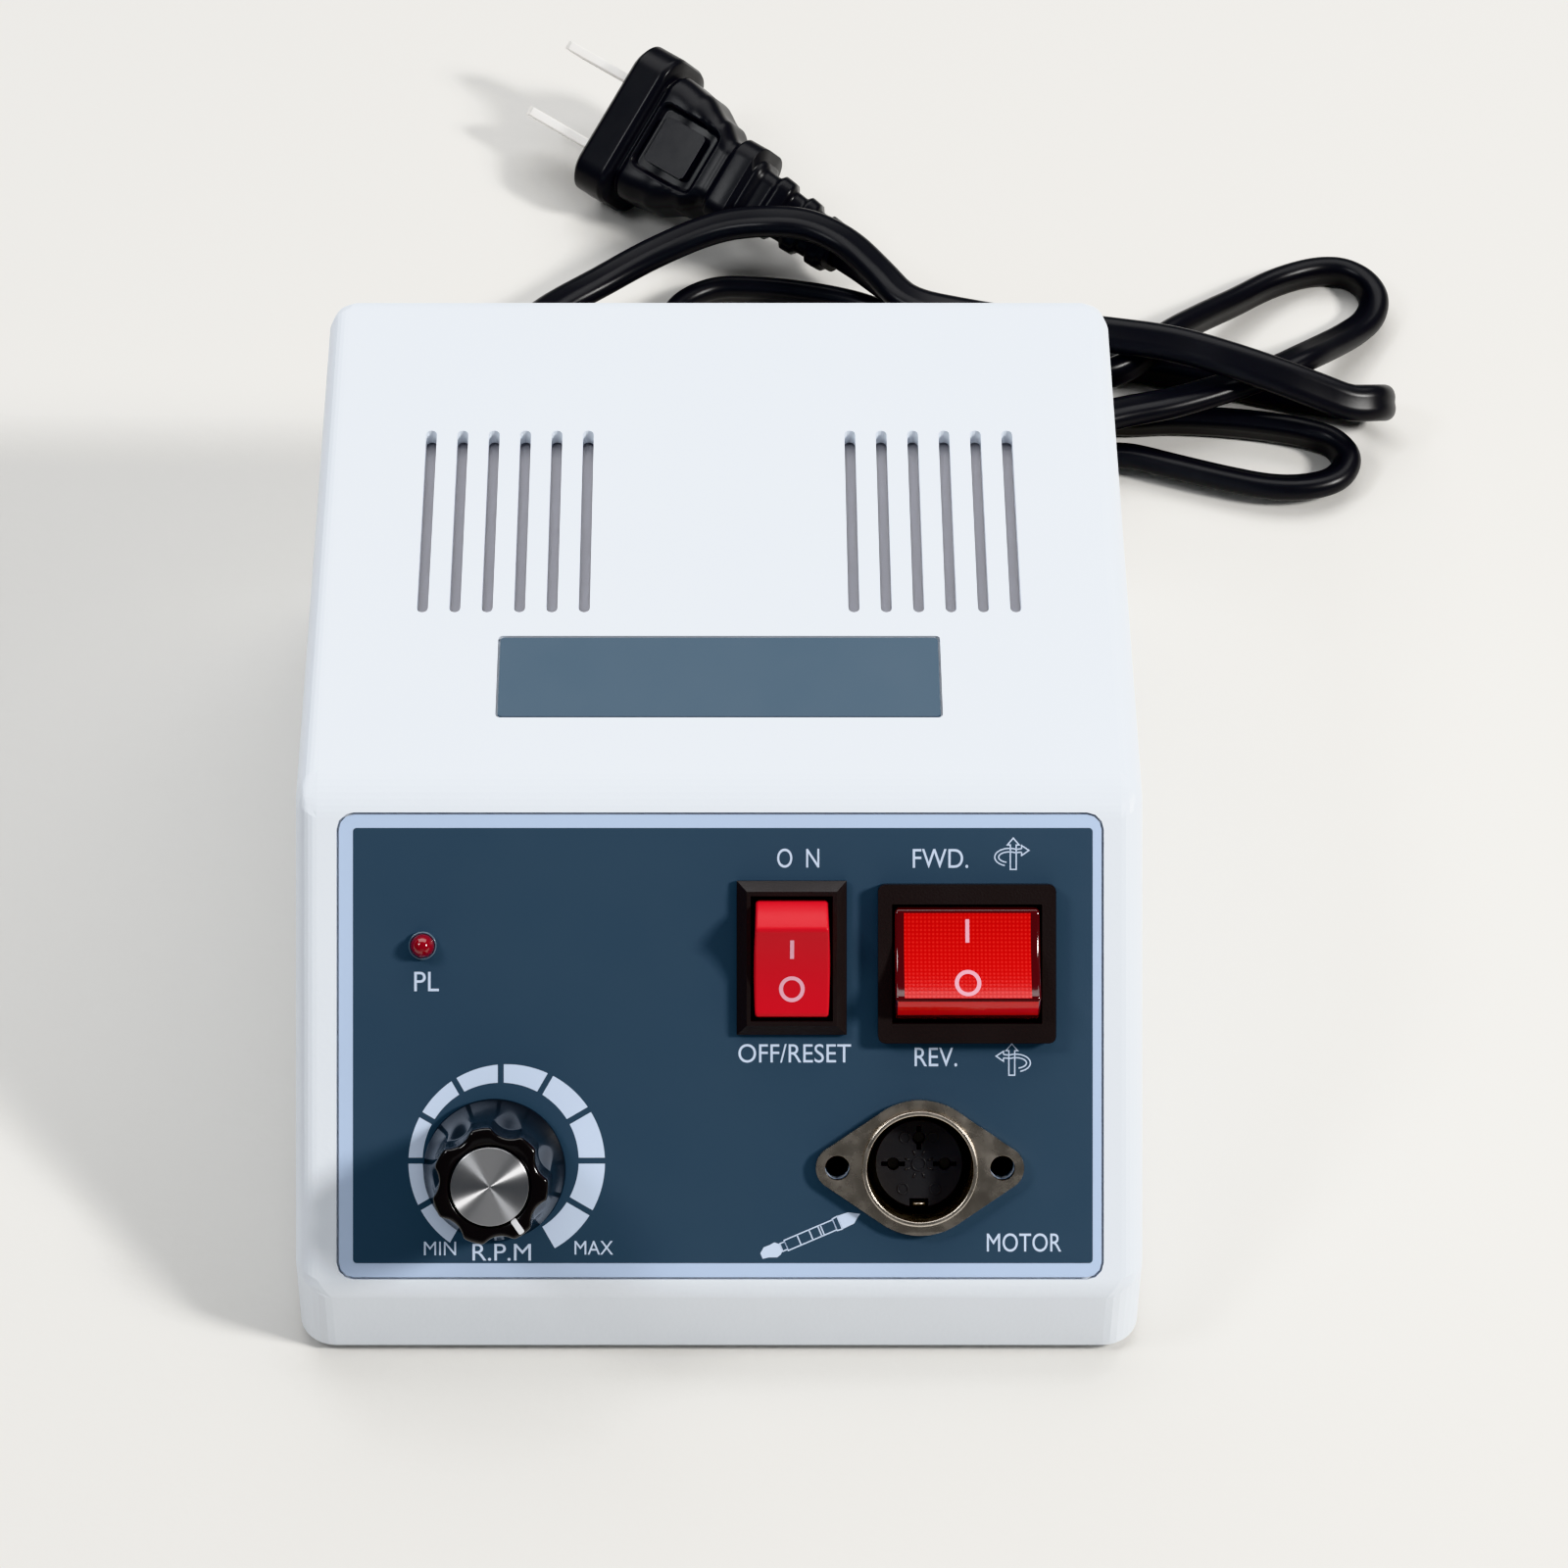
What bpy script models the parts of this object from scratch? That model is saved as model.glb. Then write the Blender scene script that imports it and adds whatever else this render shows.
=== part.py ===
"""A dental laboratory micromotor's control box, with its mains cord and plug, in metres, +Z up.

The front of the casing faces -Y. The origin is on the table, under the middle of the box.
Frames: "casing" has y = 0 on the casing's front face and z = 0 on the table; "panel" has its
origin on the bend above the sloping panel, x to the right, y up the slope and z out of the panel.
"""

import math
from dataclasses import dataclass

import bmesh
import bpy
from mathutils import Matrix, Vector

# General clearances
FIT = 0.0003
OVERRUN = 0.002
ROUND_SEGMENTS = 24
SMALL_SEGMENTS = 12
SMOOTH_ANGLE = math.radians(35)
SQUARE_SHARE = 0.9
STRAIGHT_SHARE = 0.001
DIAGONAL_DROP_SHARE = 1 - 1 / math.sqrt(2)

# Casing
CASE_WIDTH = 0.1144
CASE_DEPTH = 0.1438
CASE_HEIGHT = 0.0601
NOSE_HEIGHT = 0.0124
PANEL_ANGLE = math.radians(45)
WALL = 0.0025
CORNER_RADIUS = 0.005
EDGE_RADIUS = 0.003
BEND_RADIUS = 0.009
NOSE_RADIUS = 0.004
CASE_SEGMENTS = 8
FOOT_STANDOFF = 0.0015

# Cooling slots in the top
SLOT_WIDTH = 0.0016
SLOT_LENGTH = 0.0355
SLOT_START = 0.0802
SLOT_FIRST_X_SHARE = 0.1639
SLOT_PITCH_SHARE = 0.03934
SLOTS_A_SIDE = 6

# Name plate on the top
LABEL_WIDTH = 0.0605
LABEL_DEPTH = 0.0145
LABEL_Y = 0.0683
LABEL_THICKNESS = 0.0004
LABEL_RECESS = 0.0008
LABEL_RADIUS = 0.0006

# Panel overlay, with its middle measured on the panel from the bend line
OVERLAY_WIDTH_SHARE = 0.89773
OVERLAY_LENGTH_SHARE = 1.30608
OVERLAY_U = 0.00015
OVERLAY_V_SHARE = 0.72222
OVERLAY_RADIUS = 0.002
OVERLAY_THICKNESS = 0.0004
OVERLAY_RECESS = 0.0009

# Base plate
BASE_THICKNESS = 0.0025
BASE_INSET = 0.0015
BASE_SLOT_WIDTH = 0.0025
BASE_SLOT_LENGTH = 0.03
BASE_SLOT_PITCH_SHARE = 0.05682
BASE_SLOTS = 5
BASE_SLOTS_Y = 0.04

# Feet
FOOT_RADIUS = 0.0055
FOOT_TAPER = 0.0006
FOOT_X_SHARE = 0.36713
FOOT_INSET_Y = 0.016

# Case screws and their bosses
BOSS_RADIUS = 0.004
BOSS_INSET = 0.007
CASE_SCREW_RADIUS = 0.0015
CASE_SCREW_LENGTH = 0.0095
CASE_SCREW_HEAD_RADIUS = 0.0027
CASE_SCREW_HEAD = 0.0012
CASE_SCREW_RECESS = 0.0014
CROSS_WIDTH = 0.0007
CROSS_LENGTH_SHARE = 1.2
CROSS_DEPTH_SHARE = 0.6

# Speed knob
KNOB_U_SHARE = -0.26399
KNOB_V_SHARE = 1.06918
KNOB_CLEARANCE = 0.0006
KNOB_HEIGHT = 0.0155
KNOB_SKIRT_RADIUS = 0.0096
KNOB_SKIRT_RIM = 0.0018
KNOB_SKIRT_HEIGHT = 0.0052
KNOB_TOP_RADIUS = 0.0079
KNOB_FLUTES = 7
KNOB_FLUTE_DEPTH = 0.0011
KNOB_FLUTE_STEPS = 12
KNOB_EDGE = 0.0006
KNOB_HOLLOW_RADIUS = 0.0068
KNOB_HOLLOW_DEPTH = 0.0042
KNOB_CAP_RADIUS = 0.0052
KNOB_CAP_THICKNESS = 0.0011
KNOB_CAP_RAISED = 0.0003
POINTER_WIDTH = 0.0008
POINTER_LENGTH = 0.0014
POINTER_THICKNESS = 0.0006
KNOB_REST_ANGLE = math.radians(-55)

# Potentiometer
POT_CAN_RADIUS = 0.008
POT_CAN_DEPTH = 0.0085
POT_BUSHING_RADIUS = 0.0035
POT_BUSHING_LENGTH = 0.0062
POT_SHAFT_RADIUS = 0.0025
POT_SHAFT_REACH = 0.0095
POT_NUT_RADIUS = 0.0058
POT_NUT_HEIGHT = 0.002
POT_WAFER_WIDTH = 0.0125
POT_WAFER_LENGTH = 0.0055
POT_WAFER_THICKNESS = 0.0014
POT_LUG_WIDTH = 0.0018
POT_LUG_LENGTH = 0.0045
POT_LUG_THICKNESS = 0.0006
POT_LUG_PITCH = 0.004

# Indicator lamp
LED_U_SHARE = -0.34878
LED_V_SHARE = 0.43816
LED_RADIUS = 0.0015
LED_RISE = 0.0016
LED_RIM_RADIUS = 0.0019
LED_RIM = 0.001
LED_BODY_DEPTH = 0.0032
LED_HOLDER_RADIUS = 0.0032
LED_HOLDER_DEPTH = 0.0065
LED_HOLDER_WALL = 0.0009
LED_LEAD = 0.0005
LED_LEAD_LENGTH = 0.006
LED_LEAD_PITCH = 0.00127

# Motor socket
SOCKET_U_SHARE = 0.23601
SOCKET_V_SHARE = 1.06289
SOCKET_FLANGE_RADIUS = 0.0091
SOCKET_EAR_RADIUS = 0.0029
SOCKET_HOLE_SPACING = 0.0222
SOCKET_HOLE_RADIUS = 0.00165
SOCKET_FLANGE = 0.0012
SOCKET_LIP = 0.0011
SOCKET_LIP_RADIUS = 0.0086
SOCKET_BORE_RADIUS = 0.0077
SOCKET_SHELL_WALL = 0.0005
SOCKET_SHELL_DEPTH = 0.012
INSERT_BASE = 0.003
INSERT_RADIUS = 0.00585
INSERT_FACE_DEPTH = 0.0028
CONTACT_CIRCLE_RADIUS = 0.0035
CONTACT_RADIUS = 0.0007
CONTACT_RECESS = 0.001
CONTACT_TAIL = 0.004
CONTACT_ANGLES = {"left": math.pi, "top": math.pi / 2, "right": 0.0}
KEYWAY_WIDTH = 0.0025
KEYWAY_DEPTH = 0.0012

# Parts shared by both rocker switches
BEZEL_HEIGHT = 0.002
PIVOT_BELOW_BEZEL = 0.0025
PIVOT_RADIUS = 0.0012
PIVOT_LENGTH = 0.0006
ROCKER_RIDGE_ANGLE = math.radians(52)
ROCKER_END_ANGLE = math.radians(95)
ROCKER_SAG = 0.001
ROCKER_ARC_POINTS = 5
ROCKER_TOP_POINTS = 9
ROCKER_PLAN_POINTS = 9
STEM_RADIUS = 0.0022
STEM_LENGTH = 0.0045
PLUNGER_RADIUS = 0.001
PLUNGER_REACH = 0.008
PLUNGER_DEPTH = 0.003
LEVER_LENGTH = 0.0115
LEVER_WIDTH = 0.003
LEVER_THICKNESS = 0.0006
LEVER_RATIO = -0.35
LEVER_DOT_RADIUS = 0.0009
LEVER_DOT = 0.0004
FULCRUM_HEIGHT = 0.0018
FULCRUM_THICKNESS = 0.0008
BODY_FLOOR = 0.0015
TERMINAL_WIDTH = 0.0048
TERMINAL_THICKNESS = 0.0008
TERMINAL_LENGTH = 0.0065
TERMINAL_PITCH = 0.006
CLIP_WIDTH = 0.006
CLIP_LENGTH = 0.0025
CLIP_REACH = 0.0005


@dataclass
class RockerSwitch:
    """One rocker switch: where it sits on the panel, and the sizes that tell it from the other."""

    name: str
    across_share: float
    down_share: float
    bezel_width: float
    bezel_length: float
    chamfer: float
    corner: float
    body_width: float
    body_length: float
    rocker_radius: float
    rocker_width: float
    rocker_bulge: float
    side_gap: float
    tilt: float
    pressed_end: int
    terminal_columns: int
    terminal_column_pitch: float

    @property
    def u(self):
        return CASE_WIDTH * self.across_share

    @property
    def v(self):
        return PANEL_RISE * self.down_share


POWER_SWITCH = RockerSwitch(
    name="power",
    across_share=0.08531,
    down_share=0.47170,
    bezel_width=0.0148,
    bezel_length=0.0207,
    chamfer=0.00135,
    corner=0.0,
    body_width=0.0126,
    body_length=0.0185,
    rocker_radius=0.0081,
    rocker_width=0.0102,
    rocker_bulge=0.0004,
    side_gap=0.0004,
    tilt=math.radians(20),
    pressed_end=-1,
    terminal_columns=1,
    terminal_column_pitch=0.0,
)
DIRECTION_SWITCH = RockerSwitch(
    name="direction",
    across_share=0.29108,
    down_share=0.48637,
    bezel_width=0.0239,
    bezel_length=0.0213,
    chamfer=0.0,
    corner=0.0009,
    body_width=0.0216,
    body_length=0.0185,
    rocker_radius=0.0077,
    rocker_width=0.0195,
    rocker_bulge=0.0001,
    side_gap=0.0003,
    tilt=math.radians(18),
    pressed_end=1,
    terminal_columns=2,
    terminal_column_pitch=0.0095,
)

# Transformer, standing on its bracket with the laminations stacked across the casing
CORE_STACK_SHARE = 0.23601
CORE_LENGTH = 0.057
CORE_HEIGHT_SHARE = 0.79035
CORE_X_SHARE = -0.24476
CORE_Y = 0.095
COIL_LENGTH_SHARE = 0.66
COIL_OVERHANG_SHARE = 0.0743
COIL_CLEAR = 0.0008
BRACKET_THICKNESS = 0.001
BRACKET_FOOT = 0.0095
BRACKET_WIDTH_SHARE = 0.9
TRANSFORMER_SCREW_RADIUS = 0.0016
TRANSFORMER_SCREW_HEAD_RADIUS = 0.0032
TRANSFORMER_SCREW_HEAD = 0.002

# Circuit board
BOARD_WIDTH_SHARE = 0.4021
BOARD_LENGTH = 0.074
BOARD_THICKNESS = 0.0016
BOARD_X_SHARE = 0.23601
BOARD_Y = 0.09
STANDOFF_RADIUS = 0.003
STANDOFF_HEIGHT = 0.005
STANDOFF_INSET = 0.004
BOARD_SCREW_RADIUS = 0.0012
BOARD_SCREW_LENGTH = 0.0055
BOARD_SCREW_HEAD_RADIUS = 0.0022
BOARD_SCREW_HEAD = 0.0014
CAPACITOR_RADIUS = 0.009
CAPACITOR_HEIGHT_SHARE = 0.49917
CAPACITOR_X_SHARE = 0.15734
CAPACITOR_Y = 0.114
CAPACITOR_GROOVE = 0.0006
CAPACITOR_GROOVE_SHARE = 0.12
RECTIFIER_WIDTH_SHARE = 0.13112
RECTIFIER_DEPTH = 0.0035
RECTIFIER_HEIGHT_SHARE = 0.19135
RECTIFIER_X_SHARE = 0.10927
RECTIFIER_Y = 0.1
HEATSINK_WIDTH_SHARE = 0.22727
HEATSINK_DEPTH = 0.002
HEATSINK_HEIGHT_SHARE = 0.43261
HEATSINK_X_SHARE = 0.30157
HEATSINK_Y = 0.0885
HEATSINK_FINS = 5
HEATSINK_FIN_DEPTH = 0.009
HEATSINK_FIN_THICKNESS = 0.0012
TRANSISTOR_SIZE = (0.01, 0.0042, 0.015)
TRANSISTOR_TAB = (0.01, 0.0013, 0.0065)
CONNECTOR_SIZE = (0.015, 0.0058, 0.009)
CONNECTOR_X_SHARE = 0.23601
CONNECTOR_Y = 0.061
CONNECTOR_WALL = 0.0008

# Fuse holder in the rear wall
FUSE_X_SHARE = 0.30594
FUSE_Z = 0.0285
FUSE_FLANGE_RADIUS = 0.008
FUSE_FLANGE = 0.002
FUSE_BARREL_RADIUS = 0.006
FUSE_BARREL_LENGTH = 0.026
FUSE_BORE_RADIUS = 0.0031
FUSE_RADIUS = 0.0026
FUSE_LENGTH = 0.02
FUSE_CAP_RADIUS = 0.0064
FUSE_CAP_HEIGHT = 0.007
FUSE_CAP_STUB = 0.002
FUSE_CAP_RIBS = 12
FUSE_CAP_RIB = 0.0005
FUSE_CAP_RIB_STEPS = 4
FUSE_NUT_RADIUS = 0.0085
FUSE_NUT_HEIGHT = 0.003

# Cord bushing in the rear wall
BUSHING_X_SHARE = -0.27972
BUSHING_Z = 0.0155
BUSHING_HEAD_RADIUS = 0.0068
BUSHING_HEAD = 0.0028
BUSHING_NECK_RADIUS = 0.0052
BUSHING_TAIL_RADIUS = 0.0055
BUSHING_END_RADIUS = 0.0042
BUSHING_TAIL = 0.0172
BUSHING_INSIDE = 0.006
BUSHING_RIBS = 5
BUSHING_GROOVE_SHARE = 0.5
BUSHING_SEGMENTS = 16

# Flat two-core cord, drawn here as a round tube of its width
CORD_WIDTH = 0.0058
CORD_LONGEST_STEP = 0.0155
CORD_SHARPEST_STEP = math.radians(32)
CORD_CURVE_STEPS = 24

# Mains plug. Its frame has z along its axis, from the blade face towards the cord, and x across
# the two blades.
PLUG_FACE = (-0.0159, 0.2363, 0.0125)
PLUG_HEADING = math.radians(-40.1)
PLUG_ROLL = math.radians(37.4)
PLUG_LENGTH = 0.0446
PLUG_WIDTH = 0.027
PLUG_THICKNESS = 0.015
PLUG_STRAIGHT_SHARE = 0.62
PLUG_CORNER_SHARE = 0.34
PLUG_CORNER_STEPS = 3
PLUG_END_X = -0.001
PLUG_END_Y = -0.004
PLUG_END_SLOPE = (-0.05, 0.13)
PAD_FRAME = 0.0125
PAD_DEPTH = 0.0009
PAD_SIZE = 0.0084
PAD_RAISED = 0.0007
PAD_CENTRE = 0.0145
PAD_FACE_SHARE = 0.83
BLADE_SPACING = 0.0127
BLADE_LENGTH = 0.0158
BLADE_WIDTH = 0.0063
BLADE_THICKNESS = 0.0015
BLADE_SOCKET = 0.004
BLADE_TIP = 0.0015
RELIEF_RIBS = 4

# Sections of the plug's body: shares of its length, width and thickness
PLUG_SECTION_SHARES = (
    (0.0, 0.93, 0.88),
    (0.02, 1.0, 1.0),
    (0.13, 1.0, 1.0),
    (0.15, 0.96, 0.94),
    (0.165, 0.84, 0.85),
    (0.3, 0.79, 0.82),
    (0.42, 0.63, 0.76),
    (0.5, 0.47, 0.68),
    (0.52, 0.47, 0.66),
    (0.54, 0.56, 0.74),
    (0.6, 0.56, 0.72),
)
RELIEF_START_SHARES = (0.62, 0.43, 0.62)
RELIEF_END_SHARES = (1.0, 0.31, 0.44)
RELIEF_GROOVE_SHARE = 0.84

# The cord's route, in metres from the casing's frame: from the bushing over the plug's neck, out
# to the right on top, back along the table, then two more loops to the right of the casing with
# their returns behind it, and out to the plug.
CORD_ROUTE = (
    (-0.0321, 0.1705, 0.0151),
    (-0.0326, 0.178, 0.0135),
    (-0.032, 0.1865, 0.011),
    (-0.0275, 0.1945, 0.0091),
    (-0.0195, 0.201, 0.009),
    (-0.0105, 0.206, 0.011),
    (0.0, 0.2083, 0.0146),
    (0.0081, 0.2073, 0.0168),
    (0.0144, 0.2062, 0.017),
    (0.0205, 0.2025, 0.0165),
    (0.0255, 0.196, 0.0163),
    (0.03, 0.19, 0.0159),
    (0.039, 0.1864, 0.016),
    (0.05, 0.1842, 0.0157),
    (0.0625, 0.1822, 0.0156),
    (0.072, 0.1802, 0.0156),
    (0.0803, 0.1768, 0.0156),
    (0.0883, 0.1738, 0.0147),
    (0.0945, 0.1722, 0.013),
    (0.0995, 0.1713, 0.0114),
    (0.1037, 0.1725, 0.0102),
    (0.1055, 0.1756, 0.0071),
    (0.1037, 0.1786, 0.0041),
    (0.0995, 0.18, 0.0029),
    (0.0861, 0.1833, 0.0029),
    (0.076, 0.1859, 0.0029),
    (0.0648, 0.1883, 0.0029),
    (0.052, 0.1903, 0.0029),
    (0.04, 0.1934, 0.0029),
    (0.03, 0.1984, 0.0029),
    (0.0225, 0.2023, 0.0029),
    (0.0146, 0.2046, 0.0029),
    (0.0066, 0.2059, 0.0029),
    (-0.001, 0.2056, 0.0029),
    (-0.0068, 0.2012, 0.0029),
    (-0.009, 0.192, 0.0029),
    (-0.0085, 0.178, 0.0029),
    (-0.004, 0.165, 0.0029),
    (0.008, 0.158, 0.0029),
    (0.024, 0.1566, 0.0029),
    (0.042, 0.1615, 0.0029),
    (0.054, 0.1663, 0.0029),
    (0.0634, 0.1681, 0.0029),
    (0.0714, 0.1657, 0.0029),
    (0.0795, 0.163, 0.0029),
    (0.087, 0.1611, 0.0029),
    (0.0928, 0.1612, 0.0029),
    (0.0972, 0.163, 0.0029),
    (0.0991, 0.1669, 0.0029),
    (0.0972, 0.1708, 0.0029),
    (0.093, 0.1729, 0.0029),
    (0.0875, 0.1743, 0.0029),
    (0.081, 0.1753, 0.0029),
    (0.072, 0.1759, 0.0029),
    (0.0637, 0.1755, 0.0029),
    (0.05, 0.178, 0.0029),
    (0.036, 0.1806, 0.0034),
    (0.02, 0.1826, 0.0065),
    (0.004, 0.1838, 0.0094),
    (-0.008, 0.1829, 0.0094),
    (-0.0158, 0.1788, 0.0094),
    (-0.0187, 0.172, 0.0094),
    (-0.0158, 0.1652, 0.0094),
    (-0.008, 0.1611, 0.0094),
    (0.006, 0.16, 0.0094),
    (0.03, 0.1606, 0.0094),
    (0.05, 0.1662, 0.0094),
    (0.0626, 0.1709, 0.0094),
    (0.0714, 0.1732, 0.0094),
    (0.08, 0.1766, 0.0093),
    (0.0887, 0.1807, 0.0093),
    (0.093, 0.1838, 0.0089),
    (0.0977, 0.1892, 0.0063),
    (0.102, 0.1944, 0.004),
    (0.1052, 0.1987, 0.003),
    (0.1065, 0.2031, 0.0029),
    (0.1053, 0.2071, 0.0029),
    (0.102, 0.2098, 0.0029),
    (0.0975, 0.21, 0.0029),
    (0.0905, 0.207, 0.0032),
    (0.0835, 0.201, 0.0046),
    (0.077, 0.1946, 0.007),
    (0.071, 0.188, 0.0092),
    (0.0665, 0.1828, 0.0093),
    (0.061, 0.1797, 0.0093),
    (0.053, 0.181, 0.0093),
    (0.045, 0.1854, 0.0093),
    (0.037, 0.1912, 0.0093),
    (0.0302, 0.197, 0.0093),
    (0.0265, 0.201, 0.0092),
)

# Derived places
TOP_Z = FOOT_STANDOFF + CASE_HEIGHT
PANEL_RISE = CASE_HEIGHT - NOSE_HEIGHT
PANEL_RUN = PANEL_RISE / math.tan(PANEL_ANGLE)
SLOT_FIRST_X = CASE_WIDTH * SLOT_FIRST_X_SHARE
SLOT_PITCH = CASE_WIDTH * SLOT_PITCH_SHARE
OVERLAY_WIDTH = CASE_WIDTH * OVERLAY_WIDTH_SHARE
BASE_SLOT_PITCH = CASE_WIDTH * BASE_SLOT_PITCH_SHARE
FOOT_X = CASE_WIDTH * FOOT_X_SHARE
KNOB_U = CASE_WIDTH * KNOB_U_SHARE
LED_U = CASE_WIDTH * LED_U_SHARE
SOCKET_U = CASE_WIDTH * SOCKET_U_SHARE
CORE_STACK = CASE_WIDTH * CORE_STACK_SHARE
CORE_X = CASE_WIDTH * CORE_X_SHARE
COIL_OVERHANG = CASE_WIDTH * COIL_OVERHANG_SHARE
BOARD_WIDTH = CASE_WIDTH * BOARD_WIDTH_SHARE
BOARD_X = CASE_WIDTH * BOARD_X_SHARE
CAPACITOR_X = CASE_WIDTH * CAPACITOR_X_SHARE
RECTIFIER_X = CASE_WIDTH * RECTIFIER_X_SHARE
HEATSINK_X = CASE_WIDTH * HEATSINK_X_SHARE
CONNECTOR_X = CASE_WIDTH * CONNECTOR_X_SHARE
FUSE_X = CASE_WIDTH * FUSE_X_SHARE
BUSHING_X = CASE_WIDTH * BUSHING_X_SHARE
OVERLAY_LENGTH = PANEL_RISE * OVERLAY_LENGTH_SHARE
OVERLAY_V = PANEL_RISE * OVERLAY_V_SHARE
KNOB_V = PANEL_RISE * KNOB_V_SHARE
LED_V = PANEL_RISE * LED_V_SHARE
SOCKET_V = PANEL_RISE * SOCKET_V_SHARE
CORE_HEIGHT = CASE_HEIGHT * CORE_HEIGHT_SHARE
CAPACITOR_HEIGHT = CASE_HEIGHT * CAPACITOR_HEIGHT_SHARE
RECTIFIER_SIZE = (CASE_WIDTH * RECTIFIER_WIDTH_SHARE, RECTIFIER_DEPTH, CASE_HEIGHT * RECTIFIER_HEIGHT_SHARE)
HEATSINK_SIZE = (CASE_WIDTH * HEATSINK_WIDTH_SHARE, HEATSINK_DEPTH, CASE_HEIGHT * HEATSINK_HEIGHT_SHARE)
BASE_BOTTOM = FOOT_STANDOFF + BASE_INSET
BASE_TOP = BASE_BOTTOM + BASE_THICKNESS
OVERLAY_TOP = OVERLAY_THICKNESS + FIT - OVERLAY_RECESS
SEAT = OVERLAY_TOP + FIT
PIVOT_Z = BEZEL_HEIGHT - PIVOT_BELOW_BEZEL
LEVER_TOP = PIVOT_Z - PLUNGER_REACH - FIT
FULCRUM_TOP = LEVER_TOP - LEVER_THICKNESS - FIT
POCKET_FLOOR = FULCRUM_TOP - FULCRUM_HEIGHT
SWITCH_BOTTOM = POCKET_FLOOR - BODY_FLOOR
KNOB_REACH_FORWARD = (
    KNOB_V * math.cos(PANEL_ANGLE)
    + (SEAT + KNOB_CLEARANCE + KNOB_HEIGHT) * math.sin(PANEL_ANGLE)
    + KNOB_TOP_RADIUS * math.cos(PANEL_ANGLE)
    - PANEL_RUN
)
BUSHING_REACH_BACK = FIT + BUSHING_HEAD + BUSHING_TAIL
FRONT_Y = (KNOB_REACH_FORWARD - CASE_DEPTH - BUSHING_REACH_BACK) / 2
BUSHING_END = (BUSHING_X, CASE_DEPTH + BUSHING_REACH_BACK, BUSHING_Z)


# Scene and materials


def clear_scene():
    for obj in list(bpy.data.objects):
        bpy.data.objects.remove(obj, do_unlink=True)


def new_collection(name):
    collection = bpy.data.collections.new(name)
    bpy.context.scene.collection.children.link(collection)
    return collection


def new_frame(name, location, rotation=(0, 0, 0), parent=None):
    """An empty that carries pieces and turns with them."""
    frame = bpy.data.objects.new(name, None)
    frame.location = location
    frame.rotation_euler = rotation
    frame.parent = parent
    PRODUCT.objects.link(frame)
    return frame


def new_material(name, colour, roughness, metallic=0.0):
    material = bpy.data.materials.new(name)
    material.use_nodes = True
    shader = material.node_tree.nodes["Principled BSDF"]
    shader.inputs["Base Color"].default_value = (*colour, 1)
    shader.inputs["Roughness"].default_value = roughness
    shader.inputs["Metallic"].default_value = metallic
    return material


# Shapes as meshes, each centred on its own axes


def mesh_from(bm, name):
    bmesh.ops.recalc_face_normals(bm, faces=bm.faces)
    mesh = bpy.data.meshes.new(name)
    bm.to_mesh(mesh)
    bm.free()
    return mesh


def box(size, centre=(0, 0, 0)):
    """A box of the given size about a centre."""
    bm = bmesh.new()
    bmesh.ops.create_cube(bm, size=1)
    bmesh.ops.scale(bm, vec=size, verts=bm.verts)
    bmesh.ops.translate(bm, vec=centre, verts=bm.verts)
    return mesh_from(bm, "box")


def cylinder(radius, low, high, segments=ROUND_SEGMENTS, turn=None, centre=(0, 0)):
    """A round bar along Z from low to high, turned by a matrix if one is given."""
    bm = bmesh.new()
    bmesh.ops.create_cone(
        bm,
        cap_ends=True,
        segments=segments,
        radius1=radius,
        radius2=radius,
        depth=high - low,
    )
    bmesh.ops.translate(bm, vec=(*centre, (low + high) / 2), verts=bm.verts)
    if turn:
        bmesh.ops.transform(bm, matrix=turn, verts=bm.verts)
    return mesh_from(bm, "cylinder")


def prism(outline, low, high, holes=(), turn=None):
    """A flat outline with holes, extruded along Z from low to high."""
    curve = bpy.data.curves.new("outline", "CURVE")
    curve.dimensions = "2D"
    curve.fill_mode = "BOTH"
    curve.extrude = (high - low) / 2
    for points in (outline, *holes):
        spline = curve.splines.new("POLY")
        spline.points.add(len(points) - 1)
        for point, (x, y) in zip(spline.points, points):
            point.co = (x, y, 0, 1)
        spline.use_cyclic_u = True
    guide = bpy.data.objects.new("outline", curve)
    solid = bpy.data.meshes.new_from_object(guide)
    bpy.data.objects.remove(guide)
    bpy.data.curves.remove(curve)
    bm = bmesh.new()
    bm.from_mesh(solid)
    bpy.data.meshes.remove(solid)
    bmesh.ops.remove_doubles(bm, verts=bm.verts, dist=FIT / 100)
    bmesh.ops.translate(bm, vec=(0, 0, (low + high) / 2), verts=bm.verts)
    if turn:
        bmesh.ops.transform(bm, matrix=turn, verts=bm.verts)
    return mesh_from(bm, "prism")


# Turns an extrusion along Z into one along X: outline x runs along Y, and outline y along Z.
ALONG_X = Matrix(((0, 0, 1, 0), (1, 0, 0, 0), (0, 1, 0, 0), (0, 0, 0, 1)))
# Turns an axis along Z into one along +Y.
ALONG_Y = Matrix.Rotation(-math.pi / 2, 4, "X")


def merged(*meshes):
    """Separate bodies in one mesh, for use as a single cutter."""
    bm = bmesh.new()
    for mesh in meshes:
        bm.from_mesh(mesh)
    return mesh_from(bm, "merged")


def through(outlines, low, high):
    """One cutter that opens every outline through a sheet between two heights."""
    return merged(*(prism(outline, low - OVERRUN, high + OVERRUN) for outline in outlines))


# Outlines in the XY plane


def circle(radius, centre=(0, 0), segments=ROUND_SEGMENTS):
    turns = (2 * math.pi * step / segments for step in range(segments))
    return [
        (centre[0] + radius * math.cos(turn), centre[1] + radius * math.sin(turn))
        for turn in turns
    ]


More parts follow.
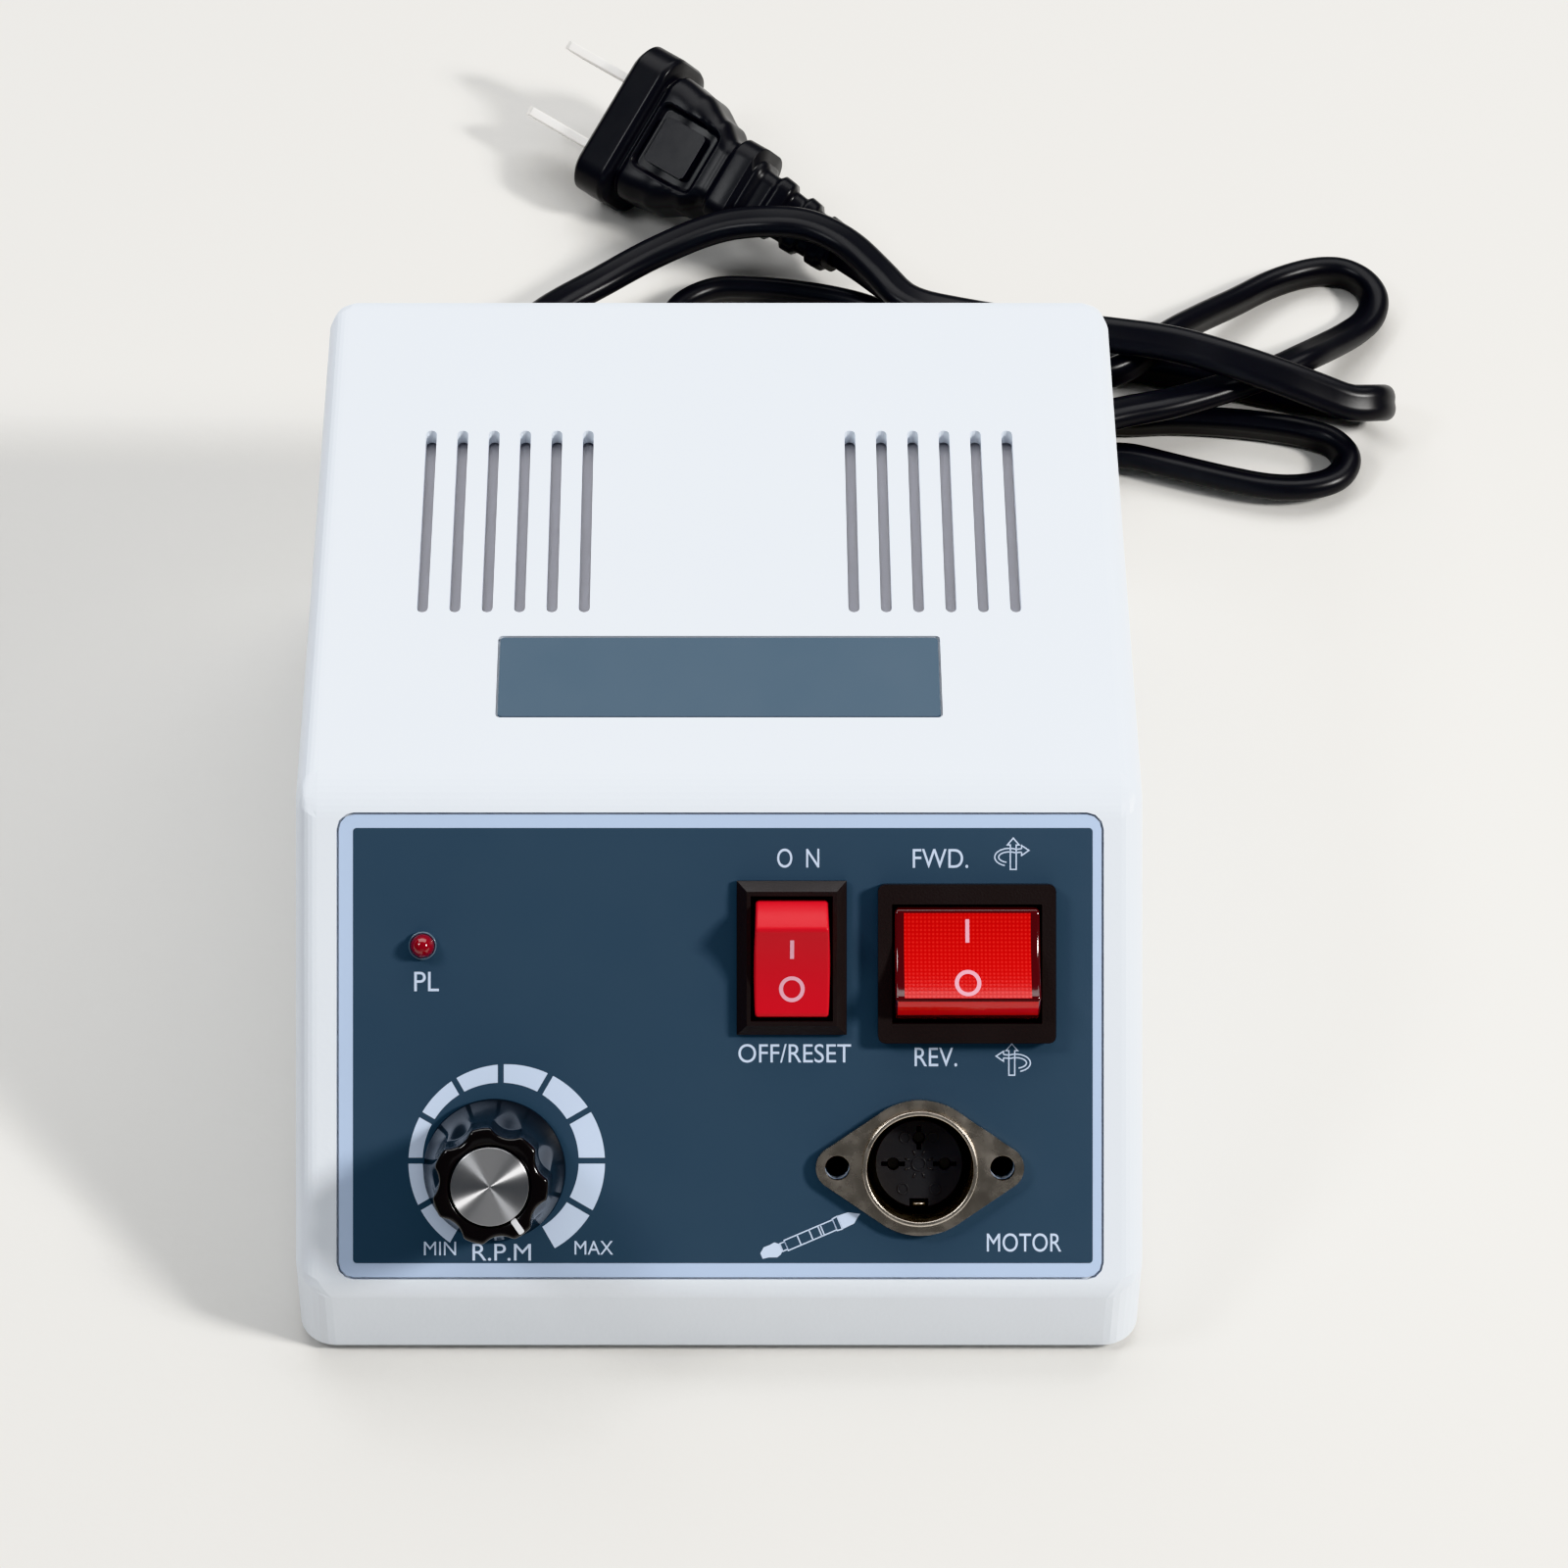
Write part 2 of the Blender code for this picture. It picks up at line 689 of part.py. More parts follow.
def rounded_rectangle(width, length, radius, centre=(0, 0), corner_steps=3):
    points = []
    for quarter in range(4):
        side_x = 1 if quarter in (0, 3) else -1
        side_y = 1 if quarter in (0, 1) else -1
        for step in range(corner_steps + 1):
            turn = math.pi / 2 * (quarter + step / corner_steps)
            points.append(
                (
                    centre[0] + side_x * (width / 2 - radius) + radius * math.cos(turn),
                    centre[1] + side_y * (length / 2 - radius) + radius * math.sin(turn),
                )
            )
    return points


def rectangle(width, length, centre=(0, 0)):
    return [
        (centre[0] + side_x * width / 2, centre[1] + side_y * length / 2)
        for side_x, side_y in ((1, 1), (-1, 1), (-1, -1), (1, -1))
    ]


def slot_outline(width, length, centre=(0, 0), end_steps=6):
    """A slot with round ends, long along Y."""
    radius = width / 2
    points = []
    for end in (1, -1):
        for step in range(end_steps + 1):
            turn = math.pi * step / end_steps
            across = end * radius * math.cos(turn)
            along = end * (length / 2 - radius + radius * math.sin(turn))
            points.append((centre[0] + across, centre[1] + along))
    return points


# Pieces and cutters


def shade(obj):
    if obj.data.polygons:
        obj.data.shade_smooth()
        obj.data.set_sharp_from_angle(angle=SMOOTH_ANGLE)


def piece(name, mesh, material, parent, location=(0, 0, 0), rotation=(0, 0, 0)):
    """One named sub-part of the product."""
    obj = bpy.data.objects.new(name, mesh)
    obj.data.name = name
    obj.data.materials.clear()
    obj.data.materials.append(material)
    obj.parent = parent
    obj.location = location
    obj.rotation_euler = rotation
    PRODUCT.objects.link(obj)
    shade(obj)
    return obj


def turned(profile, segments=ROUND_SEGMENTS):
    """An edge profile of (radius, height), top to bottom, that a Screw turns about Z."""
    mesh = bpy.data.meshes.new("profile")
    points = [(radius, 0, height) for radius, height in profile]
    edges = [(index, index + 1) for index in range(len(points) - 1)]
    if profile[0][0] > 0:
        edges.append((len(points) - 1, 0))
    mesh.from_pydata(points, edges, [])
    mesh["segments"] = segments
    return mesh


def spin(obj):
    screw = obj.modifiers.new("turn", "SCREW")
    screw.axis = "Z"
    screw.steps = obj.data["segments"]
    screw.render_steps = obj.data["segments"]
    screw.use_merge_vertices = True
    screw.merge_threshold = FIT / 100
    screw.use_smooth_shade = True
    return obj


def tool(target, mesh, operation, location=(0, 0, 0), rotation=(0, 0, 0), spun=False):
    """Cuts a mesh from a piece, or joins it to the piece, in the frame that carries the piece."""
    cutter = bpy.data.objects.new(f"{target.name}_tool", mesh)
    cutter.parent = target.parent
    cutter.location = location
    cutter.rotation_euler = rotation
    cutter.hide_render = True
    cutter.display_type = "WIRE"
    CUTTERS.objects.link(cutter)
    if spun:
        spin(cutter)
    boolean = target.modifiers.new(operation.lower(), "BOOLEAN")
    boolean.operation = operation
    boolean.object = cutter
    return cutter


def cut(target, mesh, **where):
    return tool(target, mesh, "DIFFERENCE", **where)


def join(target, mesh, **where):
    return tool(target, mesh, "UNION", **where)


# Casing


def tangent_length(radius, turn):
    """How far a fillet of this radius starts from an edge where two faces turn by this angle."""
    return radius * math.tan(turn / 2)


def casing_hull():
    """The casing's outer form as an open surface: a box with a sloping panel, and no bottom."""
    bm = bmesh.new()
    bmesh.ops.create_cube(bm, size=1)
    bmesh.ops.scale(bm, vec=(CASE_WIDTH, CASE_DEPTH, CASE_HEIGHT), verts=bm.verts)
    bmesh.ops.translate(
        bm, vec=(0, CASE_DEPTH / 2, FOOT_STANDOFF + CASE_HEIGHT / 2), verts=bm.verts
    )
    slope = bmesh.ops.bisect_plane(
        bm,
        geom=bm.verts[:] + bm.edges[:] + bm.faces[:],
        plane_co=(0, PANEL_RUN, TOP_Z),
        plane_no=(0, -math.sin(PANEL_ANGLE), math.cos(PANEL_ANGLE)),
        clear_outer=True,
    )
    rim = [item for item in slope["geom_cut"] if isinstance(item, bmesh.types.BMEdge)]
    bmesh.ops.contextual_create(bm, geom=rim)
    bmesh.ops.recalc_face_normals(bm, faces=bm.faces)
    bottom = [face for face in bm.faces if face.normal.z < -SQUARE_SHARE]
    bmesh.ops.delete(bm, geom=bottom, context="FACES")
    return bm


def edge_fillet(edge):
    """The fillet's tangent length on one edge of the hull."""
    if edge.is_boundary:
        return 0
    along = (edge.verts[1].co - edge.verts[0].co).normalized()
    turn = edge.calc_face_angle()
    if abs(along.z) > SQUARE_SHARE:
        return tangent_length(CORNER_RADIUS, turn)
    if abs(along.x) < SQUARE_SHARE:
        return tangent_length(EDGE_RADIUS, turn)
    middle = (edge.verts[0].co + edge.verts[1].co) / 2
    if middle.y > CASE_DEPTH - EDGE_RADIUS:
        return tangent_length(EDGE_RADIUS, turn)
    if middle.z > TOP_Z - EDGE_RADIUS:
        return tangent_length(BEND_RADIUS, turn)
    return tangent_length(NOSE_RADIUS, turn)


def make_top_housing():
    bm = casing_hull()
    weights = bm.edges.layers.float.new("bevel_weight_edge")
    widest = max(edge_fillet(edge) for edge in bm.edges)
    for edge in bm.edges:
        edge[weights] = edge_fillet(edge) / widest
    mesh = bpy.data.meshes.new("top_housing")
    bm.to_mesh(mesh)
    bm.free()
    housing = piece("top_housing", mesh, WHITE_PLASTIC, CASING)
    fillet = housing.modifiers.new("fillets", "BEVEL")
    fillet.limit_method = "WEIGHT"
    fillet.width = widest
    fillet.segments = CASE_SEGMENTS
    shell = housing.modifiers.new("shell", "SOLIDIFY")
    shell.thickness = WALL
    shell.offset = -1
    shell.use_even_offset = True
    add_bosses(housing)
    cut_top(housing)
    cut_panel(housing)
    cut_back(housing)
    return housing


def boss_places():
    side = CASE_WIDTH / 2 - BOSS_INSET
    return [
        (side_x * side, y)
        for y in (BOSS_INSET, CASE_DEPTH - BOSS_INSET)
        for side_x in (-1, 1)
    ]


def add_bosses(housing):
    """Screw pillars that run from the base plate into the middle of the wall above."""
    for x, y in boss_places():
        bm = bmesh.new()
        bm.from_mesh(cylinder(BOSS_RADIUS, BASE_TOP + FIT, TOP_Z, centre=(x, y)))
        for point, normal in (
            ((0, 0, TOP_Z), (0, 0, 1)),
            ((0, PANEL_RUN, TOP_Z), (0, -math.sin(PANEL_ANGLE), math.cos(PANEL_ANGLE))),
        ):
            middle = Vector(point) - Vector(normal) * WALL / 2
            trimmed = bmesh.ops.bisect_plane(
                bm,
                geom=bm.verts[:] + bm.edges[:] + bm.faces[:],
                plane_co=middle,
                plane_no=normal,
                clear_outer=True,
            )
            rim = [e for e in trimmed["geom_cut"] if isinstance(e, bmesh.types.BMEdge)]
            if rim:
                bmesh.ops.contextual_create(bm, geom=rim)
        join(housing, mesh_from(bm, "boss"))
    pilot_top = BASE_TOP + CASE_SCREW_LENGTH
    pilots = [
        cylinder(
            CASE_SCREW_RADIUS + FIT, BASE_BOTTOM, pilot_top, SMALL_SEGMENTS, centre=place
        )
        for place in boss_places()
    ]
    cut(housing, merged(*pilots))


def cut_top(housing):
    slots = []
    for side in (-1, 1):
        for index in range(SLOTS_A_SIDE):
            x = side * (SLOT_FIRST_X + index * SLOT_PITCH)
            centre = (x, SLOT_START + SLOT_LENGTH / 2)
            slots.append(slot_outline(SLOT_WIDTH, SLOT_LENGTH, centre))
    cut(housing, through(slots, TOP_Z - WALL, TOP_Z))
    label = rounded_rectangle(
        LABEL_WIDTH + 2 * FIT, LABEL_DEPTH + 2 * FIT, LABEL_RADIUS, (0, LABEL_Y)
    )
    cut(housing, prism(label, TOP_Z - LABEL_RECESS, TOP_Z + OVERRUN))


def panel_openings():
    """Outlines of what goes through the panel and its overlay, in the panel's frame."""
    ears = SOCKET_HOLE_SPACING / 2
    openings = [
        circle(LED_RADIUS + FIT, (LED_U, -LED_V), SMALL_SEGMENTS),
        circle(POT_BUSHING_RADIUS + FIT, (KNOB_U, -KNOB_V)),
        circle(
            SOCKET_BORE_RADIUS + SOCKET_SHELL_WALL + FIT, (SOCKET_U, -SOCKET_V)
        ),
    ]
    for side in (-1, 1):
        centre = (SOCKET_U + side * ears, -SOCKET_V)
        openings.append(circle(SOCKET_HOLE_RADIUS, centre, SMALL_SEGMENTS))
    for switch in (POWER_SWITCH, DIRECTION_SWITCH):
        width = switch.body_width + 2 * FIT
        length = switch.body_length + 2 * CLIP_REACH
        openings.append(rectangle(width, length, (switch.u, -switch.v)))
    return openings


def cut_panel(housing):
    recess = rounded_rectangle(
        OVERLAY_WIDTH + 2 * FIT,
        OVERLAY_LENGTH + 2 * FIT,
        OVERLAY_RADIUS + FIT,
        (OVERLAY_U, -OVERLAY_V),
    )
    sunk = cut(housing, prism(recess, -OVERLAY_RECESS, OVERRUN))
    sunk.parent = PANEL
    holes = cut(housing, through(panel_openings(), -WALL, 0))
    holes.parent = PANEL


def cut_back(housing):
    for radius, x, z in (
        (FUSE_BARREL_RADIUS + FIT, FUSE_X, FUSE_Z),
        (BUSHING_NECK_RADIUS + FIT, BUSHING_X, BUSHING_Z),
    ):
        hole = cylinder(radius, -WALL - OVERRUN, OVERRUN, turn=ALONG_Y)
        cut(housing, hole, location=(x, CASE_DEPTH, z))


def make_overlay():
    outline = rounded_rectangle(
        OVERLAY_WIDTH, OVERLAY_LENGTH, OVERLAY_RADIUS, (OVERLAY_U, -OVERLAY_V)
    )
    low = OVERLAY_TOP - OVERLAY_THICKNESS
    overlay = piece("control_overlay", prism(outline, low, OVERLAY_TOP), PANEL_PRINT, PANEL)
    cut(overlay, through(panel_openings(), low, OVERLAY_TOP))


def make_name_plate():
    outline = rounded_rectangle(LABEL_WIDTH, LABEL_DEPTH, LABEL_RADIUS, (0, LABEL_Y))
    low = TOP_Z - LABEL_RECESS + FIT
    piece("name_plate", prism(outline, low, low + LABEL_THICKNESS), LABEL_PRINT, CASING)


# Base plate, feet and screws


def standoff_places():
    return [
        (
            BOARD_X + side_x * (BOARD_WIDTH / 2 - STANDOFF_INSET),
            BOARD_Y + side_y * (BOARD_LENGTH / 2 - STANDOFF_INSET),
        )
        for side_y in (-1, 1)
        for side_x in (-1, 1)
    ]


def transformer_screw_places():
    reach = CORE_LENGTH / 2 + BRACKET_THICKNESS + BRACKET_FOOT / 2
    return [(CORE_X, CORE_Y + side * reach) for side in (-1, 1)]


def make_base_plate():
    margin = WALL + FIT
    outline = rounded_rectangle(
        CASE_WIDTH - 2 * margin,
        CASE_DEPTH - 2 * margin,
        CORNER_RADIUS - WALL,
        (0, CASE_DEPTH / 2),
    )
    base = piece("base_plate", prism(outline, BASE_BOTTOM, BASE_TOP), GREY_PLASTIC, CASING)
    openings = [
        circle(CASE_SCREW_RADIUS + FIT, place, SMALL_SEGMENTS) for place in boss_places()
    ]
    openings += [
        circle(TRANSFORMER_SCREW_RADIUS + FIT, place, SMALL_SEGMENTS)
        for place in transformer_screw_places()
    ]
    for index in range(BASE_SLOTS):
        x = (index - (BASE_SLOTS - 1) / 2) * BASE_SLOT_PITCH
        centre = (x, BASE_SLOTS_Y)
        openings.append(slot_outline(BASE_SLOT_WIDTH, BASE_SLOT_LENGTH, centre))
    cut(base, through(openings, BASE_BOTTOM, BASE_TOP))
    recesses = [
        cylinder(
            CASE_SCREW_HEAD_RADIUS + FIT,
            BASE_BOTTOM - OVERRUN,
            BASE_BOTTOM + CASE_SCREW_RECESS,
            SMALL_SEGMENTS,
            centre=place,
        )
        for place in boss_places()
    ]
    cut(base, merged(*recesses))
    top = BASE_TOP + STANDOFF_HEIGHT
    for place in standoff_places():
        join(base, cylinder(STANDOFF_RADIUS, BASE_TOP - FIT, top, SMALL_SEGMENTS, centre=place))
    pilots = [
        cylinder(
            BOARD_SCREW_RADIUS + FIT,
            top + BOARD_THICKNESS + FIT - BOARD_SCREW_LENGTH - FIT,
            top + OVERRUN,
            SMALL_SEGMENTS,
            centre=place,
        )
        for place in standoff_places()
    ]
    cut(base, merged(*pilots))


def make_feet():
    profile = [
        (0, BASE_BOTTOM - FIT),
        (FOOT_RADIUS, BASE_BOTTOM - FIT),
        (FOOT_RADIUS, FOOT_TAPER),
        (FOOT_RADIUS - FOOT_TAPER, 0),
        (0, 0),
    ]
    number = 0
    for y in (FOOT_INSET_Y, CASE_DEPTH - FOOT_INSET_Y):
        for side in (-1, 1):
            number += 1
            place = (side * FOOT_X, y, 0)
            spin(piece(f"rubber_foot_{number}", turned(profile), RUBBER, CASING, place))


def screw_mesh(radius, length, head_radius, head):
    """A pan-head screw pointing down, its head's underside at zero."""
    chamfer = head / 3
    profile = [
        (0, head),
        (head_radius - chamfer, head),
        (head_radius, head - chamfer),
        (head_radius, 0),
        (radius, 0),
        (radius, radius - length),
        (0, -length),
    ]
    return turned(profile, SMALL_SEGMENTS)


def make_screw(name, radius, length, head_radius, head, location, rotation=(0, 0, 0)):
    mesh = screw_mesh(radius, length, head_radius, head)
    screw = spin(piece(name, mesh, ZINC, CASING, location, rotation))
    reach = head_radius * CROSS_LENGTH_SHARE
    depth = head * CROSS_DEPTH_SHARE
    for size in ((reach, CROSS_WIDTH, 2 * depth), (CROSS_WIDTH, reach, 2 * depth)):
        cut(screw, box(size, (0, 0, head)), location=location, rotation=rotation)


def make_case_screws():
    for number, (x, y) in enumerate(boss_places(), 1):
        make_screw(
            f"case_screw_{number}",
            CASE_SCREW_RADIUS,
            CASE_SCREW_LENGTH - OVERRUN,
            CASE_SCREW_HEAD_RADIUS,
            CASE_SCREW_HEAD,
            (x, y, BASE_BOTTOM + CASE_SCREW_RECESS - FIT),
            (math.pi, 0, 0),
        )


# Speed control


def fluted_outline(radius, depth, count, steps_each):
    """A round outline with scooped flutes, and the middle of a lobe on +X."""
    steps = count * steps_each
    points = []
    for step in range(steps):
        turn = 2 * math.pi * step / steps
        scoop = (1 - math.cos(count * turn)) / 2
        reach = radius - depth * scoop**2
        points.append((reach * math.cos(turn), reach * math.sin(turn)))
    return points


def make_knob():
    """The knob's frame sits on its axis, turned so that its x runs under the pointer."""
    low = KNOB_CLEARANCE
    skirt_profile = [
        (0, KNOB_SKIRT_HEIGHT),
        (KNOB_TOP_RADIUS - KNOB_FLUTE_DEPTH, KNOB_SKIRT_HEIGHT),
        (KNOB_SKIRT_RADIUS, low + KNOB_SKIRT_RIM),
        (KNOB_SKIRT_RADIUS, low),
        (0, low),
    ]
    knob = spin(piece("speed_knob", turned(skirt_profile, 2 * ROUND_SEGMENTS), BLACK_GLOSS, KNOB))
    grip_low = low + KNOB_SKIRT_RIM
    grip_high = low + KNOB_HEIGHT
    outline = fluted_outline(KNOB_TOP_RADIUS, KNOB_FLUTE_DEPTH, KNOB_FLUTES, KNOB_FLUTE_STEPS)
    grip = bmesh.new()
    grip.from_mesh(prism(outline, grip_low, grip_high))
    top_edges = [
        edge
        for edge in grip.edges
        if all(vert.co.z > grip_high - FIT for vert in edge.verts)
        and not edge.is_boundary
        and edge.calc_face_angle() > SMOOTH_ANGLE
    ]
    bmesh.ops.bevel(grip, geom=top_edges, offset=KNOB_EDGE, segments=2, affect="EDGES")
    join(knob, mesh_from(grip, "grip"))
    hollow = cylinder(KNOB_HOLLOW_RADIUS, -OVERRUN, low + KNOB_HOLLOW_DEPTH)
    bore = cylinder(POT_SHAFT_RADIUS + FIT, -OVERRUN, POT_SHAFT_REACH + FIT)
    cap_seat = cylinder(
        KNOB_CAP_RADIUS + FIT,
        grip_high - KNOB_CAP_THICKNESS + KNOB_CAP_RAISED - FIT,
        grip_high + OVERRUN,
    )
    pointer_x = KNOB_CAP_RADIUS + 2 * FIT + POINTER_LENGTH / 2 + FIT
    slot = box(
        (
            POINTER_LENGTH + 2 * FIT,
            POINTER_WIDTH + 2 * FIT,
            2 * (POINTER_THICKNESS + FIT),
        ),
        (pointer_x, 0, grip_high),
    )
    for mesh in (hollow, bore, cap_seat, slot):
        cut(knob, mesh)
    cap_low = grip_high - KNOB_CAP_THICKNESS + KNOB_CAP_RAISED
    cap = cylinder(KNOB_CAP_RADIUS, cap_low, cap_low + KNOB_CAP_THICKNESS)
    piece("knob_cap", cap, ALUMINIUM, KNOB)
    pointer = box(
        (POINTER_LENGTH, POINTER_WIDTH, POINTER_THICKNESS),
        (pointer_x, 0, grip_high - POINTER_THICKNESS / 2),
    )
    piece("knob_pointer", pointer, WHITE_PAINT, KNOB)


def make_potentiometer():
    """The body, seen from the panel's frame at the knob's axis: zero is the seat on the overlay."""
    place = (KNOB_U, -KNOB_V, SEAT)
    can_top = -WALL - SEAT - FIT
    can_bottom = can_top - POT_CAN_DEPTH
    bore = POT_SHAFT_RADIUS + FIT
    bushing_top = can_top + POT_BUSHING_LENGTH
    profile = [
        (0, can_top),
        (bore, can_top),
        (bore, bushing_top),
        (POT_BUSHING_RADIUS, bushing_top),
        (POT_BUSHING_RADIUS, can_top),
        (POT_CAN_RADIUS, can_top),
        (POT_CAN_RADIUS, can_bottom),
        (0, can_bottom),
    ]
    body = spin(piece("pot_body", turned(profile), ZINC, PANEL, place))
    wafer_z = (can_top + can_bottom) / 2
    wafer_y = -POT_CAN_RADIUS - POT_WAFER_LENGTH / 2 + OVERRUN
    wafer = box((POT_WAFER_WIDTH, POT_WAFER_LENGTH, POT_WAFER_THICKNESS), (0, wafer_y, wafer_z))
    join(body, wafer, location=place)
    for index in (-1, 0, 1):
        lug_y = wafer_y - POT_WAFER_LENGTH / 2 - POT_LUG_LENGTH / 2 + POT_LUG_WIDTH / 2
        lug = box(
            (POT_LUG_WIDTH, POT_LUG_LENGTH, POT_LUG_THICKNESS),
            (index * POT_LUG_PITCH, lug_y, wafer_z),
        )
        join(body, lug, location=place)
    nut = prism(
        circle(POT_NUT_RADIUS, segments=6),
        0,
        POT_NUT_HEIGHT,
        holes=[circle(POT_BUSHING_RADIUS + FIT)],
    )
    piece("pot_nut", nut, ZINC, PANEL, place)
    shaft = cylinder(POT_SHAFT_RADIUS, can_top + FIT, POT_SHAFT_REACH)
    piece("pot_shaft", shaft, ALUMINIUM, KNOB)


# Indicator lamp


def make_lamp():
    """Zero is the panel's nominal surface; the rim stands behind the panel in its holder."""
    place = (LED_U, -LED_V, 0)
    rim_top = -WALL - FIT
    rim_bottom = rim_top - LED_RIM
    top = OVERLAY_TOP + LED_RISE
    dome = [
        (
            LED_RADIUS * math.sin(math.pi / 2 * step / 4),
            top - LED_RADIUS * (1 - math.cos(math.pi / 2 * step / 4)),
        )
        for step in range(5)
    ]
    profile = [
        *dome,
        (LED_RADIUS, rim_top),
        (LED_RIM_RADIUS, rim_top),
        (LED_RIM_RADIUS, rim_bottom),
        (0, rim_bottom),
    ]
    lamp = spin(piece("indicator_led", turned(profile, SMALL_SEGMENTS), RED_LENS, PANEL, place))
    for side in (-1, 1):
        lead = box(
            (LED_LEAD, LED_LEAD, LED_LEAD_LENGTH),
            (side * LED_LEAD_PITCH, 0, rim_bottom + FIT - LED_LEAD_LENGTH / 2),
        )
        join(lamp, lead, location=place)
    inner = LED_RIM_RADIUS + FIT
    outer = LED_HOLDER_RADIUS
    shelf = rim_bottom - FIT
    holder_bottom = rim_top - LED_HOLDER_DEPTH
    opening = LED_LEAD_PITCH + LED_LEAD
    holder = [
        (inner, rim_top),
        (outer, rim_top),
        (outer, holder_bottom),
        (opening, holder_bottom),
        (opening, shelf),
        (inner, shelf),
    ]
    spin(piece("led_holder", turned(holder, SMALL_SEGMENTS), BLACK_PLASTIC, PANEL, place))


# Motor socket


def flange_outline():
    """A disc and two ears, with straight tangents between them."""
    spacing = SOCKET_HOLE_SPACING / 2
    lean = math.acos((SOCKET_FLANGE_RADIUS - SOCKET_EAR_RADIUS) / spacing)
    points = []

    def arc(centre_x, radius, start, end, steps):
        for step in range(steps + 1):
            turn = start + (end - start) * step / steps
            points.append((centre_x + radius * math.cos(turn), radius * math.sin(turn)))

    arc(spacing, SOCKET_EAR_RADIUS, -lean, lean, 8)
    arc(0, SOCKET_FLANGE_RADIUS, lean, math.pi - lean, 10)
    arc(-spacing, SOCKET_EAR_RADIUS, math.pi - lean, math.pi + lean, 8)
    arc(0, SOCKET_FLANGE_RADIUS, math.pi + lean, 2 * math.pi - lean, 10)
    return points


def make_socket():
    """Zero is the underside of the flange, on the overlay."""
    place = (SOCKET_U, -SOCKET_V, SEAT)
    shell_radius = SOCKET_BORE_RADIUS + SOCKET_SHELL_WALL
    ears = [
        circle(SOCKET_HOLE_RADIUS, (side * SOCKET_HOLE_SPACING / 2, 0), SMALL_SEGMENTS)
        for side in (-1, 1)
    ]
    bore = circle(SOCKET_BORE_RADIUS, segments=2 * ROUND_SEGMENTS)
    plate = prism(flange_outline(), 0, SOCKET_FLANGE, holes=[*ears, bore])
    flange = piece("socket_flange", plate, NICKEL, PANEL, place)
    lip_top = SOCKET_FLANGE + SOCKET_LIP
    lip_round = (SOCKET_LIP_RADIUS - SOCKET_BORE_RADIUS) / 3
    profile = [
        (SOCKET_BORE_RADIUS + lip_round, lip_top),
        (SOCKET_LIP_RADIUS - lip_round, lip_top),
        (SOCKET_LIP_RADIUS, lip_top - lip_round),
        (SOCKET_LIP_RADIUS, SOCKET_FLANGE / 2),
        (shell_radius, SOCKET_FLANGE / 2),
        (shell_radius, -SOCKET_SHELL_DEPTH),
        (SOCKET_BORE_RADIUS, -SOCKET_SHELL_DEPTH),
        (SOCKET_BORE_RADIUS, lip_top - lip_round),
    ]
    join(flange, turned(profile, 2 * ROUND_SEGMENTS), location=place, spun=True)
    face = -INSERT_FACE_DEPTH
    base_bottom = -SOCKET_SHELL_DEPTH
    base_top = base_bottom + INSERT_BASE
    base_radius = SOCKET_BORE_RADIUS - FIT
    profile = [
        (0, face),
        (INSERT_RADIUS, face),
        (INSERT_RADIUS, base_top),
        (base_radius, base_top),
        (base_radius, base_bottom),
        (0, base_bottom),
    ]
    insert = spin(piece("socket_insert", turned(profile, 2 * ROUND_SEGMENTS), BLACK_PLASTIC, PANEL, place))
    keyway = box(
        (KEYWAY_WIDTH, 2 * KEYWAY_DEPTH, 2 * (face - base_top)), (0, -INSERT_RADIUS, face)
    )
    cut(insert, keyway, location=place)
    for side, turn in CONTACT_ANGLES.items():
        centre = (
            CONTACT_CIRCLE_RADIUS * math.cos(turn),
            CONTACT_CIRCLE_RADIUS * math.sin(turn),
        )
        hole = cylinder(
            CONTACT_RADIUS + FIT,
            base_bottom - OVERRUN,
            face + OVERRUN,
            SMALL_SEGMENTS,
            centre=centre,
        )
        cut(insert, hole, location=place)
        contact = cylinder(
            CONTACT_RADIUS,
            base_bottom - CONTACT_TAIL,
            face - CONTACT_RECESS,
            SMALL_SEGMENTS,
            centre=centre,
        )
        piece(f"socket_contact_{side}", contact, BRASS, PANEL, place)


# Rocker switches


